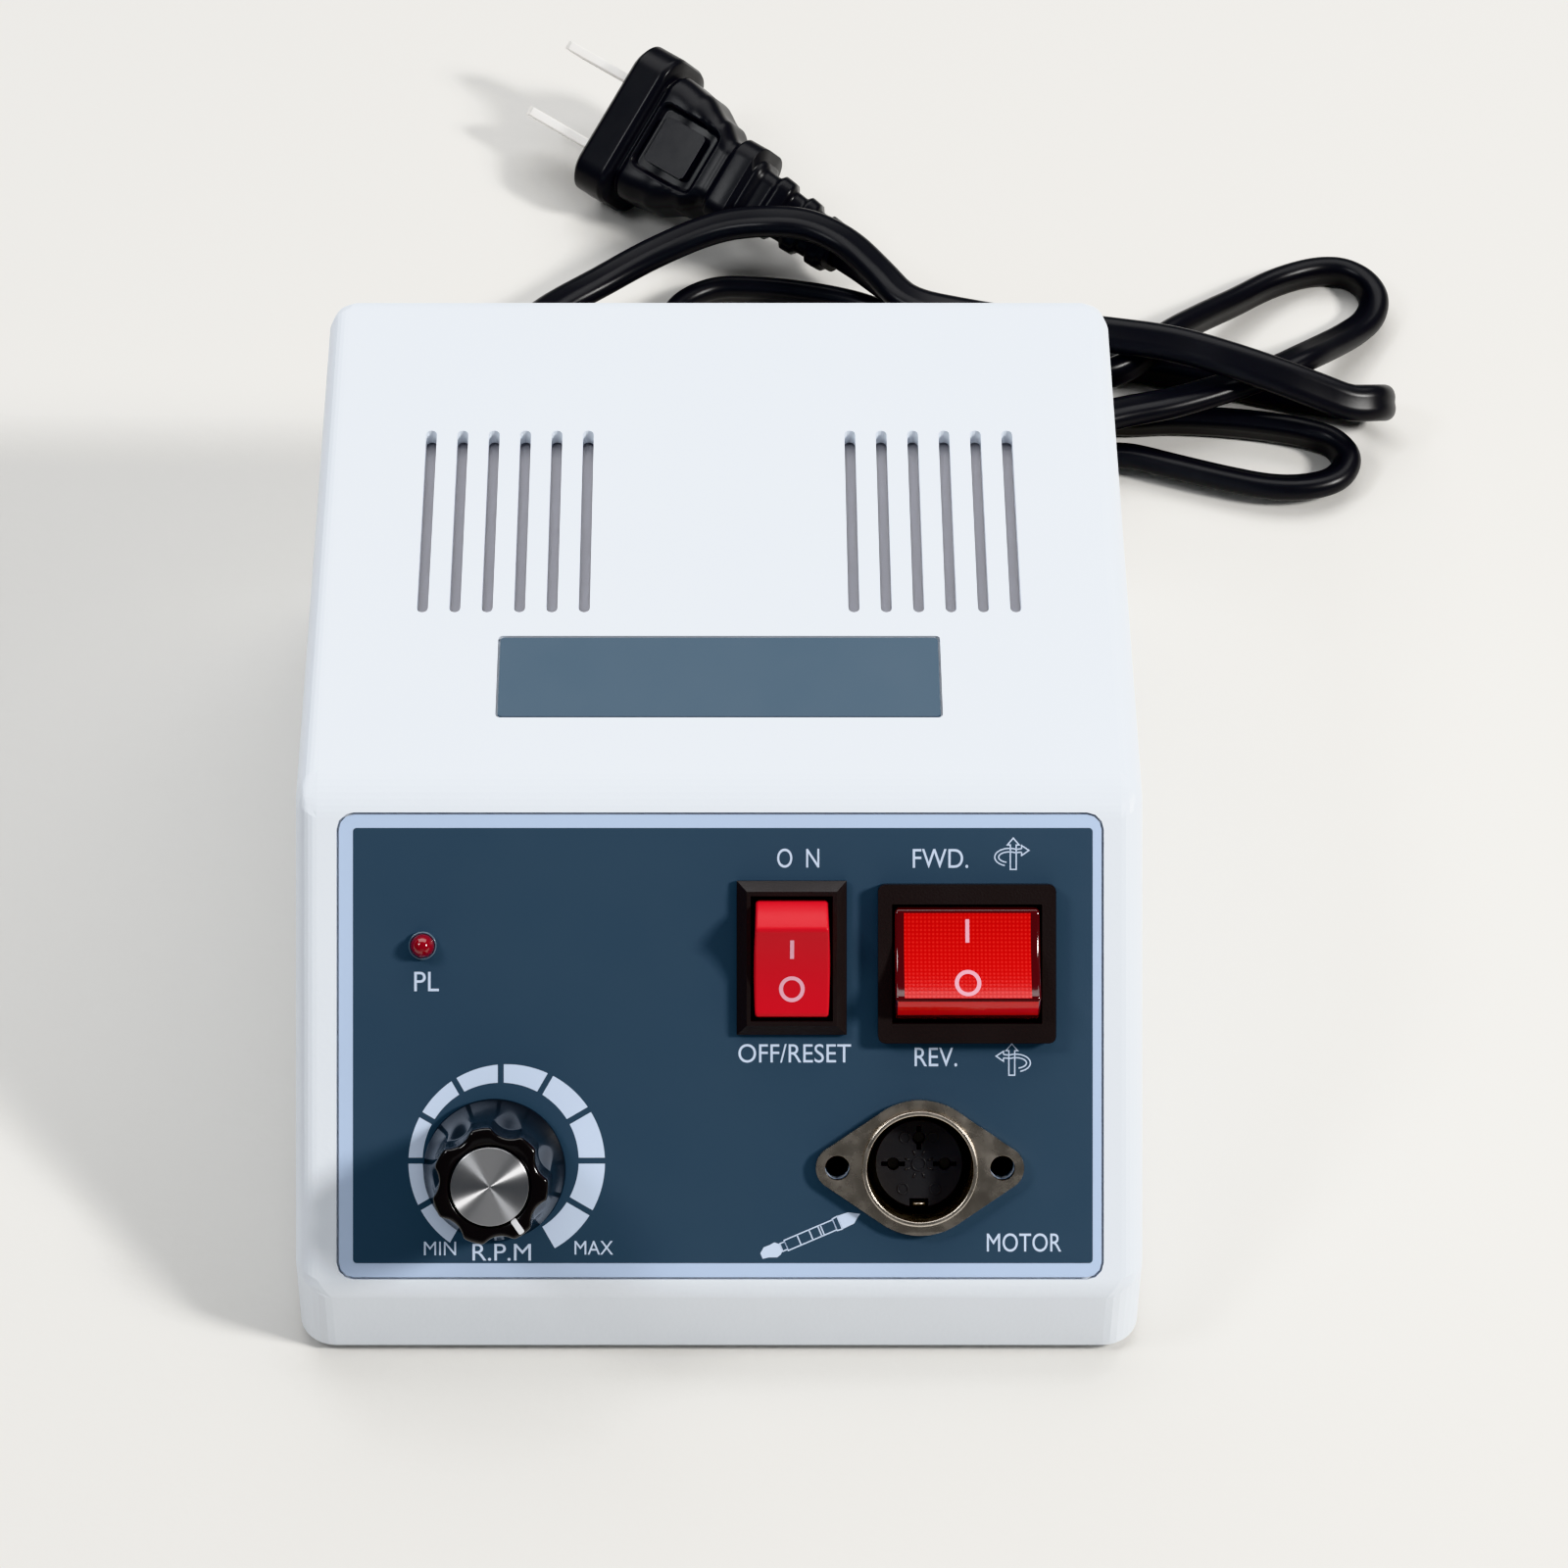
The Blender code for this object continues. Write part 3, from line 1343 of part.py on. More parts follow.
def make_switch_body(switch):
    """Zero is the underside of the bezel, on the overlay."""
    place = (switch.u, -switch.v, SEAT)
    if switch.corner:
        outline = rounded_rectangle(switch.bezel_width, switch.bezel_length, switch.corner)
    else:
        outline = rectangle(switch.bezel_width, switch.bezel_length)
    bezel = bmesh.new()
    bezel.from_mesh(prism(outline, 0, BEZEL_HEIGHT))
    if switch.chamfer:
        top_edges = [
            edge
            for edge in bezel.edges
            if all(vert.co.z > BEZEL_HEIGHT - FIT for vert in edge.verts)
            and edge.calc_face_angle() > SMOOTH_ANGLE
        ]
        bmesh.ops.bevel(
            bezel, geom=top_edges, offset=switch.chamfer, segments=1, affect="EDGES"
        )
    name = f"{switch.name}_switch_body"
    body = piece(name, mesh_from(bezel, name), BLACK_PLASTIC, PANEL, place)
    block = box(
        (switch.body_width, switch.body_length, OVERRUN / 4 - SWITCH_BOTTOM),
        (0, 0, (SWITCH_BOTTOM + OVERRUN / 4) / 2),
    )
    join(body, block, location=place)
    pocket_width = switch.rocker_width + 2 * switch.side_gap
    pocket_length = 2 * (switch.rocker_radius + FIT)
    pocket_top = BEZEL_HEIGHT + OVERRUN
    pocket = box(
        (pocket_width, pocket_length, pocket_top - POCKET_FLOOR),
        (0, 0, (pocket_top + POCKET_FLOOR) / 2),
    )
    cut(body, pocket, location=place)
    pin_reach = pocket_width / 2 + PIVOT_LENGTH
    pin_hole = cylinder(
        PIVOT_RADIUS + FIT,
        -pin_reach,
        pin_reach,
        SMALL_SEGMENTS,
        turn=ALONG_X,
    )
    pin_place = (switch.u, -switch.v, SEAT + PIVOT_Z)
    cut(body, pin_hole, location=pin_place)
    fulcrum_low = POCKET_FLOOR - FIT
    fulcrum = box(
        (LEVER_WIDTH, FULCRUM_THICKNESS, FULCRUM_TOP - fulcrum_low),
        (0, 0, (FULCRUM_TOP + fulcrum_low) / 2),
    )
    join(body, fulcrum, location=place)
    for column in range(switch.terminal_columns):
        x = (column - (switch.terminal_columns - 1) / 2) * switch.terminal_column_pitch
        for row in (-1, 0, 1):
            terminal = box(
                (TERMINAL_WIDTH, TERMINAL_THICKNESS, TERMINAL_LENGTH + FIT),
                (x, row * TERMINAL_PITCH, SWITCH_BOTTOM + FIT - TERMINAL_LENGTH / 2),
            )
            join(body, terminal, location=place)
    clip_top = -WALL - SEAT - FIT
    for side in (-1, 1):
        clip = box(
            (CLIP_WIDTH, 2 * CLIP_REACH, CLIP_LENGTH),
            (0, side * switch.body_length / 2, clip_top - CLIP_LENGTH / 2),
        )
        join(body, clip, location=place)


def rocker_profile(radius):
    """Side view about the pivot: two end arcs and a dished top between its ridges."""
    points = []
    for step in range(ROCKER_ARC_POINTS):
        share = step / (ROCKER_ARC_POINTS - 1)
        turn = ROCKER_END_ANGLE + (ROCKER_RIDGE_ANGLE - ROCKER_END_ANGLE) * share
        points.append((radius * math.sin(turn), radius * math.cos(turn)))
    ridge_y, ridge_z = points[-1]
    for step in range(1, ROCKER_TOP_POINTS - 1):
        across = 1 - 2 * step / (ROCKER_TOP_POINTS - 1)
        points.append((ridge_y * across, ridge_z - ROCKER_SAG * (1 - across**2)))
    points += [(-y, z) for y, z in reversed(points[:ROCKER_ARC_POINTS])]
    return points


def barrel_outline(width, bulge, radius):
    """Top view: sides that bow out by the bulge, past both ends of the rocker."""
    points = []
    for side in (1, -1):
        for step in range(ROCKER_PLAN_POINTS):
            along = side * (2 * step / (ROCKER_PLAN_POINTS - 1) - 1)
            reach = width / 2 - bulge * along**2
            points.append((side * reach, along * (radius + OVERRUN)))
    return points


def make_rocker(switch, frame, material):
    radius = switch.rocker_radius
    half = switch.rocker_width
    profile = rocker_profile(radius)
    rocker = piece(
        f"{switch.name}_rocker",
        prism(profile, -half, half, turn=ALONG_X),
        material,
        frame,
    )
    plan = barrel_outline(switch.rocker_width, switch.rocker_bulge, radius)
    tool(rocker, prism(plan, -2 * radius, 2 * radius), "INTERSECT")
    pin_reach = switch.rocker_width / 2 + switch.side_gap + PIVOT_LENGTH - FIT
    pin = cylinder(PIVOT_RADIUS, -pin_reach, pin_reach, SMALL_SEGMENTS, turn=ALONG_X)
    join(rocker, pin)
    join(rocker, cylinder(STEM_RADIUS, -STEM_LENGTH, 0, SMALL_SEGMENTS))
    bore = cylinder(PLUNGER_RADIUS + FIT, -PLUNGER_REACH, -PLUNGER_DEPTH, SMALL_SEGMENTS)
    cut(rocker, bore)
    plunger = [
        (0, -PLUNGER_DEPTH - FIT),
        (PLUNGER_RADIUS, -PLUNGER_DEPTH - FIT),
        (PLUNGER_RADIUS, PLUNGER_RADIUS - PLUNGER_REACH),
        (PLUNGER_RADIUS / math.sqrt(2), PLUNGER_RADIUS * DIAGONAL_DROP_SHARE - PLUNGER_REACH),
        (0, -PLUNGER_REACH),
    ]
    spin(piece(f"{switch.name}_plunger", turned(plunger, SMALL_SEGMENTS), BRASS, frame))


def make_contact_lever(switch, frame):
    """A plate that rocks on the fulcrum, with a contact dot under each end."""
    middle_z = (LEVER_THICKNESS + FIT) / 2 + FIT / 2
    lever = piece(
        f"{switch.name}_contact_lever",
        box((LEVER_WIDTH, LEVER_LENGTH, LEVER_THICKNESS), (0, 0, middle_z)),
        BRASS,
        frame,
    )
    for side in (-1, 1):
        dot = cylinder(
            LEVER_DOT_RADIUS,
            FIT - LEVER_DOT,
            middle_z,
            SMALL_SEGMENTS,
            centre=(0, side * (LEVER_LENGTH / 2 - LEVER_DOT_RADIUS - FIT)),
        )
        join(lever, dot)


def make_switch(switch, material):
    make_switch_body(switch)
    tilt = -switch.pressed_end * switch.tilt
    pivot = new_frame(
        f"{switch.name}_pivot",
        (switch.u, -switch.v, SEAT + PIVOT_Z),
        (tilt, 0, 0),
        PANEL,
    )
    make_rocker(switch, pivot, material)
    fulcrum = new_frame(
        f"{switch.name}_fulcrum",
        (switch.u, -switch.v, SEAT + FULCRUM_TOP),
        (LEVER_RATIO * tilt, 0, 0),
        PANEL,
    )
    make_contact_lever(switch, fulcrum)


# Transformer


def make_transformer():
    low = BASE_TOP + FIT + BRACKET_THICKNESS + FIT
    middle = (CORE_X, CORE_Y, low + CORE_HEIGHT / 2)
    coil_length = CORE_LENGTH * COIL_LENGTH_SHARE
    coil_height = CORE_HEIGHT * COIL_LENGTH_SHARE
    limb = CORE_LENGTH * (1 - COIL_LENGTH_SHARE)
    core = piece("transformer_core", box((CORE_STACK, CORE_LENGTH, CORE_HEIGHT)), STEEL, CASING, middle)
    window = (coil_length - limb) / 2
    for side in (-1, 1):
        gap = box(
            (CORE_STACK + OVERRUN, window, coil_height),
            (0, side * (limb / 2 + window / 2), 0),
        )
        cut(core, gap, location=middle)
    outline = rounded_rectangle(
        CORE_STACK + 2 * COIL_OVERHANG,
        coil_length - 2 * COIL_CLEAR,
        COIL_OVERHANG / 2,
    )
    core_hole = rectangle(CORE_STACK + 2 * COIL_CLEAR, limb + 2 * COIL_CLEAR)
    reach = coil_height / 2 - COIL_CLEAR
    coil = prism(outline, -reach, reach, holes=[core_hole])
    piece("transformer_coil", coil, YELLOW_TAPE, CASING, middle)
    make_bracket(low)


def make_bracket(core_low):
    """A steel strap over the core, with a foot at each end."""
    outer = CORE_LENGTH / 2 + FIT + BRACKET_THICKNESS
    top = core_low + CORE_HEIGHT + FIT + BRACKET_THICKNESS
    foot_low = BASE_TOP + FIT
    foot_high = foot_low + BRACKET_THICKNESS
    reach = outer + BRACKET_FOOT
    outline = [
        (reach, foot_low),
        (reach, foot_high),
        (outer, foot_high),
        (outer, top),
        (-outer, top),
        (-outer, foot_high),
        (-reach, foot_high),
        (-reach, foot_low),
        (BRACKET_THICKNESS - outer, foot_low),
        (BRACKET_THICKNESS - outer, top - BRACKET_THICKNESS),
        (outer - BRACKET_THICKNESS, top - BRACKET_THICKNESS),
        (outer - BRACKET_THICKNESS, foot_low),
    ]
    width = CORE_STACK * BRACKET_WIDTH_SHARE
    mesh = prism(outline, -width / 2, width / 2, turn=ALONG_X)
    bracket = piece("transformer_bracket", mesh, ZINC, CASING, (CORE_X, CORE_Y, 0))
    for number, (x, y) in enumerate(transformer_screw_places(), 1):
        hole = cylinder(
            TRANSFORMER_SCREW_RADIUS + FIT,
            foot_low - OVERRUN,
            foot_high + OVERRUN,
            SMALL_SEGMENTS,
        )
        cut(bracket, hole, location=(x, y, 0))
        make_screw(
            f"transformer_screw_{number}",
            TRANSFORMER_SCREW_RADIUS,
            foot_high + FIT - BASE_BOTTOM,
            TRANSFORMER_SCREW_HEAD_RADIUS,
            TRANSFORMER_SCREW_HEAD,
            (x, y, foot_high + FIT),
        )


# Circuit board


def make_board():
    low = BASE_TOP + STANDOFF_HEIGHT + FIT
    top = low + BOARD_THICKNESS
    holes = [
        circle(BOARD_SCREW_RADIUS + FIT, place, SMALL_SEGMENTS) for place in standoff_places()
    ]
    outline = rectangle(BOARD_WIDTH, BOARD_LENGTH, (BOARD_X, BOARD_Y))
    piece("circuit_board", prism(outline, low, top, holes=holes), BOARD_GREEN, CASING)
    for number, (x, y) in enumerate(standoff_places(), 1):
        make_screw(
            f"board_screw_{number}",
            BOARD_SCREW_RADIUS,
            BOARD_SCREW_LENGTH,
            BOARD_SCREW_HEAD_RADIUS,
            BOARD_SCREW_HEAD,
            (x, y, top + FIT),
        )
    make_capacitor(top + FIT)
    make_heatsink(top + FIT)
    make_connector(top + FIT)
    width, depth, height = RECTIFIER_SIZE
    piece(
        "bridge_rectifier",
        box(RECTIFIER_SIZE),
        BLACK_PLASTIC,
        CASING,
        (RECTIFIER_X, RECTIFIER_Y, top + FIT + height / 2),
    )


def make_capacitor(low):
    groove_z = CAPACITOR_HEIGHT * CAPACITOR_GROOVE_SHARE
    profile = [
        (0, CAPACITOR_HEIGHT),
        (CAPACITOR_RADIUS - CAPACITOR_GROOVE, CAPACITOR_HEIGHT),
        (CAPACITOR_RADIUS, CAPACITOR_HEIGHT - CAPACITOR_GROOVE),
        (CAPACITOR_RADIUS, groove_z + CAPACITOR_GROOVE),
        (CAPACITOR_RADIUS - CAPACITOR_GROOVE, groove_z),
        (CAPACITOR_RADIUS, groove_z - CAPACITOR_GROOVE),
        (CAPACITOR_RADIUS, 0),
        (0, 0),
    ]
    place = (CAPACITOR_X, CAPACITOR_Y, low)
    spin(piece("smoothing_capacitor", turned(profile), BLACK_PLASTIC, CASING, place))


def make_heatsink(low):
    width, depth, height = HEATSINK_SIZE
    middle = (HEATSINK_X, HEATSINK_Y, low + height / 2)
    half = width / 2
    pitch = (width - HEATSINK_FIN_THICKNESS) / (HEATSINK_FINS - 1)
    outline = [(-half, -depth / 2), (half, -depth / 2)]
    for index in reversed(range(HEATSINK_FINS)):
        right = -half + HEATSINK_FIN_THICKNESS + index * pitch
        left = right - HEATSINK_FIN_THICKNESS
        outline += [(right, depth / 2), (right, depth / 2 + HEATSINK_FIN_DEPTH)]
        outline += [(left, depth / 2 + HEATSINK_FIN_DEPTH), (left, depth / 2)]
    points = [
        point for index, point in enumerate(outline) if point != outline[index - 1]
    ]
    points = drop_straight(points)
    piece("heatsink", prism(points, -height / 2, height / 2), ALUMINIUM, CASING, middle)
    body_width, body_depth, body_height = TRANSISTOR_SIZE
    tab_width, tab_depth, tab_height = TRANSISTOR_TAB
    face_y = HEATSINK_Y - depth / 2 - FIT
    body_middle = (HEATSINK_X, face_y - body_depth / 2, low + body_height / 2)
    transistor = piece("power_transistor", box(TRANSISTOR_SIZE), BLACK_PLASTIC, CASING, body_middle)
    tab = box(
        (tab_width, tab_depth, tab_height + 2 * FIT),
        (0, (body_depth - tab_depth) / 2, body_height / 2 + tab_height / 2),
    )
    join(transistor, tab, location=body_middle)


def drop_straight(points):
    """Leaves out the points that lie on the straight line between their neighbours."""
    kept = []
    for index, point in enumerate(points):
        before = points[index - 1]
        after = points[(index + 1) % len(points)]
        first = Vector((point[0] - before[0], point[1] - before[1]))
        second = Vector((after[0] - point[0], after[1] - point[1]))
        if abs(first.normalized().cross(second.normalized())) > STRAIGHT_SHARE:
            kept.append(point)
    return kept


def make_connector(low):
    width, depth, height = CONNECTOR_SIZE
    middle = (CONNECTOR_X, CONNECTOR_Y, low + height / 2)
    connector = piece("output_connector", box(CONNECTOR_SIZE), WHITE_PLASTIC, CASING, middle)
    pocket = box(
        (width - 2 * CONNECTOR_WALL, depth - 2 * CONNECTOR_WALL, height),
        (0, 0, 2 * CONNECTOR_WALL),
    )
    cut(connector, pocket, location=middle)


# Rear wall


def make_fuse_holder():
    """Each piece is turned about Z, and stands with its axis along +Y: zero is the wall's face."""
    place = (FUSE_X, CASE_DEPTH, FUSE_Z)
    turn = (-math.pi / 2, 0, 0)
    flange_top = FIT + FUSE_FLANGE
    bottom = -FUSE_BARREL_LENGTH
    bore_bottom = flange_top - FUSE_CAP_STUB - FIT - FUSE_LENGTH - FIT
    profile = [
        (0, bore_bottom),
        (FUSE_BORE_RADIUS, bore_bottom),
        (FUSE_BORE_RADIUS, flange_top),
        (FUSE_FLANGE_RADIUS, flange_top),
        (FUSE_FLANGE_RADIUS, FIT),
        (FUSE_BARREL_RADIUS, FIT),
        (FUSE_BARREL_RADIUS, bottom),
        (0, bottom),
    ]
    spin(piece("fuse_holder_body", turned(profile), BLACK_PLASTIC, CASING, place, turn))
    nut_top = -WALL - FIT
    nut = prism(
        circle(FUSE_NUT_RADIUS, segments=6),
        nut_top - FUSE_NUT_HEIGHT,
        nut_top,
        holes=[circle(FUSE_BARREL_RADIUS + FIT)],
    )
    piece("fuse_nut", nut, BLACK_PLASTIC, CASING, place, turn)
    fuse_low = bore_bottom + FIT
    fuse = cylinder(FUSE_RADIUS, fuse_low, fuse_low + FUSE_LENGTH, SMALL_SEGMENTS)
    piece("glass_fuse", fuse, NICKEL, CASING, place, turn)
    cap_low = flange_top + FIT
    outline = fluted_outline(FUSE_CAP_RADIUS, FUSE_CAP_RIB, FUSE_CAP_RIBS, FUSE_CAP_RIB_STEPS)
    cap_mesh = prism(outline, cap_low, cap_low + FUSE_CAP_HEIGHT)
    cap = piece("fuse_cap", cap_mesh, BLACK_PLASTIC, CASING, place, turn)
    stub = cylinder(
        FUSE_RADIUS, flange_top - FUSE_CAP_STUB, cap_low + FIT, SMALL_SEGMENTS
    )
    join(cap, stub, location=place, rotation=turn)
    slot = box(
        (2 * FUSE_CAP_RADIUS, CROSS_WIDTH * 2, CROSS_WIDTH * 4),
        (0, 0, cap_low + FUSE_CAP_HEIGHT),
    )
    cut(cap, slot, location=place, rotation=turn)


def bushing_radius(height):
    """The tail's radius this far above the head: it tapers to its end."""
    return BUSHING_TAIL_RADIUS + (BUSHING_END_RADIUS - BUSHING_TAIL_RADIUS) * height / BUSHING_TAIL


def make_cord_bushing():
    """Head, neck and tail of the rear strain relief, turned about Z and laid along +Y."""
    place = (BUSHING_X, CASE_DEPTH, BUSHING_Z)
    turn = (-math.pi / 2, 0, 0)
    bore = CORD_WIDTH / 2 + FIT
    head_top = FIT + BUSHING_HEAD
    tail_top = head_top + BUSHING_TAIL
    profile = [(bore, tail_top), (BUSHING_END_RADIUS, tail_top)]
    rib = BUSHING_TAIL / (2 * BUSHING_RIBS)
    for index in range(BUSHING_RIBS):
        groove_top = tail_top - (2 * index + 1) * rib
        groove_low = groove_top - rib
        top_radius = bushing_radius(groove_top - head_top)
        groove_radius = bore + (top_radius - bore) * BUSHING_GROOVE_SHARE
        profile += [(top_radius, groove_top), (groove_radius, groove_top)]
        profile += [(groove_radius, groove_low)]
        if index < BUSHING_RIBS - 1:
            profile += [(bushing_radius(groove_low - head_top), groove_low)]
    profile += [
        (BUSHING_HEAD_RADIUS, head_top),
        (BUSHING_HEAD_RADIUS, FIT),
        (BUSHING_NECK_RADIUS, FIT),
        (BUSHING_NECK_RADIUS, -WALL - BUSHING_INSIDE),
        (bore, -WALL - BUSHING_INSIDE),
    ]
    mesh = turned(profile, BUSHING_SEGMENTS)
    spin(piece("cord_bushing", mesh, BLACK_PLASTIC, CASING, place, turn))


# Cord and plug


def plug_matrix():
    """Where the plug lies: turned to its heading, then rolled about its own axis."""
    axis = Vector((math.cos(PLUG_HEADING), math.sin(PLUG_HEADING), 0))
    level = Vector((-math.sin(PLUG_HEADING), math.cos(PLUG_HEADING), 0))
    across = level * math.cos(PLUG_ROLL) + Vector((0, 0, math.sin(PLUG_ROLL)))
    turn = Matrix((across, axis.cross(across), axis)).transposed().to_4x4()
    return Matrix.Translation(PLUG_FACE) @ turn


def plug_end_direction():
    return Vector((*PLUG_END_SLOPE, 1)).normalized()


def plug_spine(share):
    """A point and a direction on the plug's middle line, which bends beyond the straight part."""
    end = Vector((PLUG_END_X, PLUG_END_Y, PLUG_LENGTH))
    start = Vector((0, 0, PLUG_LENGTH * PLUG_STRAIGHT_SHARE))
    if share <= PLUG_STRAIGHT_SHARE:
        return Vector((0, 0, PLUG_LENGTH * share)), Vector((0, 0, 1))
    along = (share - PLUG_STRAIGHT_SHARE) / (1 - PLUG_STRAIGHT_SHARE)
    pull = (end - start).length / 3
    guide = [
        start,
        start + Vector((0, 0, pull)),
        end - plug_end_direction() * pull,
        end,
    ]
    while len(guide) > 2:
        guide = [a.lerp(b, along) for a, b in zip(guide, guide[1:])]
    return guide[0].lerp(guide[1], along), (guide[1] - guide[0]).normalized()


def plug_sections():
    """The body's sections, then the strain relief's ribs and the grooves between them."""
    sections = list(PLUG_SECTION_SHARES)
    steps = 2 * RELIEF_RIBS - 1
    for step in range(steps):
        for edge in (0, 1):
            along = (step + edge) / steps
            share, width, thickness = (
                start + (end - start) * along
                for start, end in zip(RELIEF_START_SHARES, RELIEF_END_SHARES)
            )
            inset = RELIEF_GROOVE_SHARE if step % 2 else 1
            ramp = (1 - 2 * edge) / (8 * steps) * (1 - RELIEF_START_SHARES[0])
            place = share + (ramp if step % 2 else 0)
            sections.append((place, width * inset, thickness * inset))
    return sections


def loft(sections):
    """Rounded-rectangle sections along the plug's middle line, joined ring to ring."""
    bm = bmesh.new()
    rings = []
    for share, width_share, thickness_share in sections:
        width = PLUG_WIDTH * width_share
        thickness = PLUG_THICKNESS * thickness_share
        outline = rounded_rectangle(
            width, thickness, thickness * PLUG_CORNER_SHARE, corner_steps=PLUG_CORNER_STEPS
        )
        middle, direction = plug_spine(share)
        turn = Vector((0, 0, 1)).rotation_difference(direction)
        rings.append([bm.verts.new(middle + turn @ Vector((x, y, 0))) for x, y in outline])
    for ring, following in zip(rings, rings[1:]):
        count = len(ring)
        for index in range(count):
            after = (index + 1) % count
            bm.faces.new((ring[index], ring[after], following[after], following[index]))
    bm.faces.new(list(reversed(rings[0])))
    bm.faces.new(rings[-1])
    return mesh_from(bm, "loft")


def make_plug():
    body = piece("plug_body", loft(plug_sections()), BLACK_GLOSS, PLUG)
    face = PLUG_THICKNESS * PAD_FACE_SHARE / 2
    for side in (-1, 1):
        frame = box((PAD_FRAME, PAD_DEPTH * 2, PAD_FRAME), (0, side * face, PAD_CENTRE))
        cut(body, frame)
        pad_low = face - PAD_DEPTH - FIT
        pad_high = face - PAD_DEPTH + PAD_RAISED
        pad = box(
            (PAD_SIZE, pad_high - pad_low, PAD_SIZE),
            (0, side * (pad_low + pad_high) / 2, PAD_CENTRE),
        )
        join(body, pad)
    outline = [
        (-BLADE_WIDTH / 2, BLADE_SOCKET),
        (-BLADE_WIDTH / 2, BLADE_TIP - BLADE_LENGTH),
        (BLADE_TIP - BLADE_WIDTH / 2, -BLADE_LENGTH),
        (BLADE_WIDTH / 2 - BLADE_TIP, -BLADE_LENGTH),
        (BLADE_WIDTH / 2, BLADE_TIP - BLADE_LENGTH),
        (BLADE_WIDTH / 2, BLADE_SOCKET),
    ]
    for name, side in (("left", -1), ("right", 1)):
        x = side * BLADE_SPACING / 2
        socket = box(
            (
                BLADE_THICKNESS + 2 * FIT,
                BLADE_WIDTH + 2 * FIT,
                2 * (BLADE_SOCKET + FIT),
            ),
            (x, 0, 0),
        )
        cut(body, socket)
        low = x - BLADE_THICKNESS / 2
        blade = prism(outline, low, low + BLADE_THICKNESS, turn=ALONG_X)
        piece(f"plug_blade_{name}", blade, BRASS, PLUG)


def smooth_curve(route):
    """Centripetal Catmull-Rom curve through the route's points."""
    points = [Vector(point) for point in route]
    points.insert(0, points[0] * 2 - points[1])
    points.append(points[-1] * 2 - points[-2])
    curve = []
    for index in range(1, len(points) - 2):
        a, b, c, d = points[index - 1 : index + 3]
        knots = [0.0]
        for start, end in ((a, b), (b, c), (c, d)):
            knots.append(knots[-1] + math.sqrt((end - start).length))
        for step in range(CORD_CURVE_STEPS):
            at = knots[1] + (knots[2] - knots[1]) * step / CORD_CURVE_STEPS
            ab = a.lerp(b, at / knots[1])
            bc = b.lerp(c, (at - knots[1]) / (knots[2] - knots[1]))
            cd = c.lerp(d, (at - knots[2]) / (knots[3] - knots[2]))
            abc = ab.lerp(bc, at / knots[2])
            bcd = bc.lerp(cd, (at - knots[1]) / (knots[3] - knots[1]))
            curve.append(abc.lerp(bcd, (at - knots[1]) / (knots[2] - knots[1])))
    curve.append(points[-2])
    return curve


def thinned(curve):
    """Fewer points: one after each longest step or sharpest turn, with both ends kept."""
    kept = [curve[0]]
    direction = (curve[1] - curve[0]).normalized()
    for point, following in zip(curve[1:], curve[2:]):
        ahead = (following - point).normalized()
        far = (following - kept[-1]).length > CORD_LONGEST_STEP
        if far or ahead.angle(direction) > CORD_SHARPEST_STEP:
            kept.append(point)
            direction = ahead
    kept.append(curve[-1])
    return kept


def least_gap(curve):
    """The cord's least gap to itself, between stretches more than half a turn apart."""
    reach = [0.0]
    for start, end in zip(curve, curve[1:]):
        reach.append(reach[-1] + (end - start).length)
    apart = CORD_WIDTH * math.pi
    return min(
        (point - other).length - CORD_WIDTH
        for index, point in enumerate(curve)
        for place, other in zip(reach[index:], curve[index:])
        if place - reach[index] > apart
    )


def make_power_cord():
    to_casing = plug_matrix()
    plug_end = Vector((PLUG_END_X, PLUG_END_Y, PLUG_LENGTH))
    ahead = plug_end_direction()
    route = [
        Vector(BUSHING_END) + Vector((0, FIT, 0)),
        *CORD_ROUTE,
        to_casing @ (plug_end + ahead * CORD_WIDTH),
        to_casing @ (plug_end + ahead * FIT),
    ]
    curve = smooth_curve(route)
    points = thinned(curve)
    length = sum((end - start).length for start, end in zip(curve, curve[1:]))
    print(f"power_cord: {length:.3f} m, {len(points)} points, clears itself by {least_gap(curve):.5f} m")
    tube = bpy.data.curves.new("power_cord", "CURVE")
    tube.dimensions = "3D"
    tube.bevel_depth = CORD_WIDTH / 2
    tube.bevel_resolution = 2
    tube.use_fill_caps = True
    spline = tube.splines.new("POLY")
    spline.points.add(len(points) - 1)
    for point, place in zip(spline.points, points):
        point.co = (*place, 1)
    tube.materials.append(BLACK_GLOSS)
    cord = bpy.data.objects.new("power_cord", tube)
    cord.parent = CASING
    PRODUCT.objects.link(cord)


clear_scene()
PRODUCT = new_collection("dental_micromotor")
CUTTERS = new_collection("cutters")

WHITE_PLASTIC = new_material("white_abs", (0.86, 0.88, 0.93), 0.45)
GREY_PLASTIC = new_material("grey_abs", (0.45, 0.46, 0.48), 0.55)
BLACK_PLASTIC = new_material("black_nylon", (0.02, 0.02, 0.022), 0.5)
BLACK_GLOSS = new_material("glossy_black", (0.01, 0.01, 0.012), 0.2)
RED_PLASTIC = new_material("red_rocker", (0.75, 0.01, 0.02), 0.35)
RED_LENS = new_material("red_lens", (0.6, 0.005, 0.01), 0.1)
WHITE_PAINT = new_material("white_paint", (0.85, 0.86, 0.88), 0.4)
PANEL_PRINT = new_material("panel_print", (0.032, 0.077, 0.122), 0.4)
LABEL_PRINT = new_material("label_print", (0.08, 0.138, 0.223), 0.4)
RUBBER = new_material("foot_rubber", (0.02, 0.02, 0.02), 0.8)
NICKEL = new_material("nickel_plate", (0.75, 0.7, 0.6), 0.25, 1.0)
ZINC = new_material("zinc_plate", (0.7, 0.7, 0.72), 0.35, 1.0)
STEEL = new_material("core_steel", (0.35, 0.35, 0.37), 0.5, 1.0)
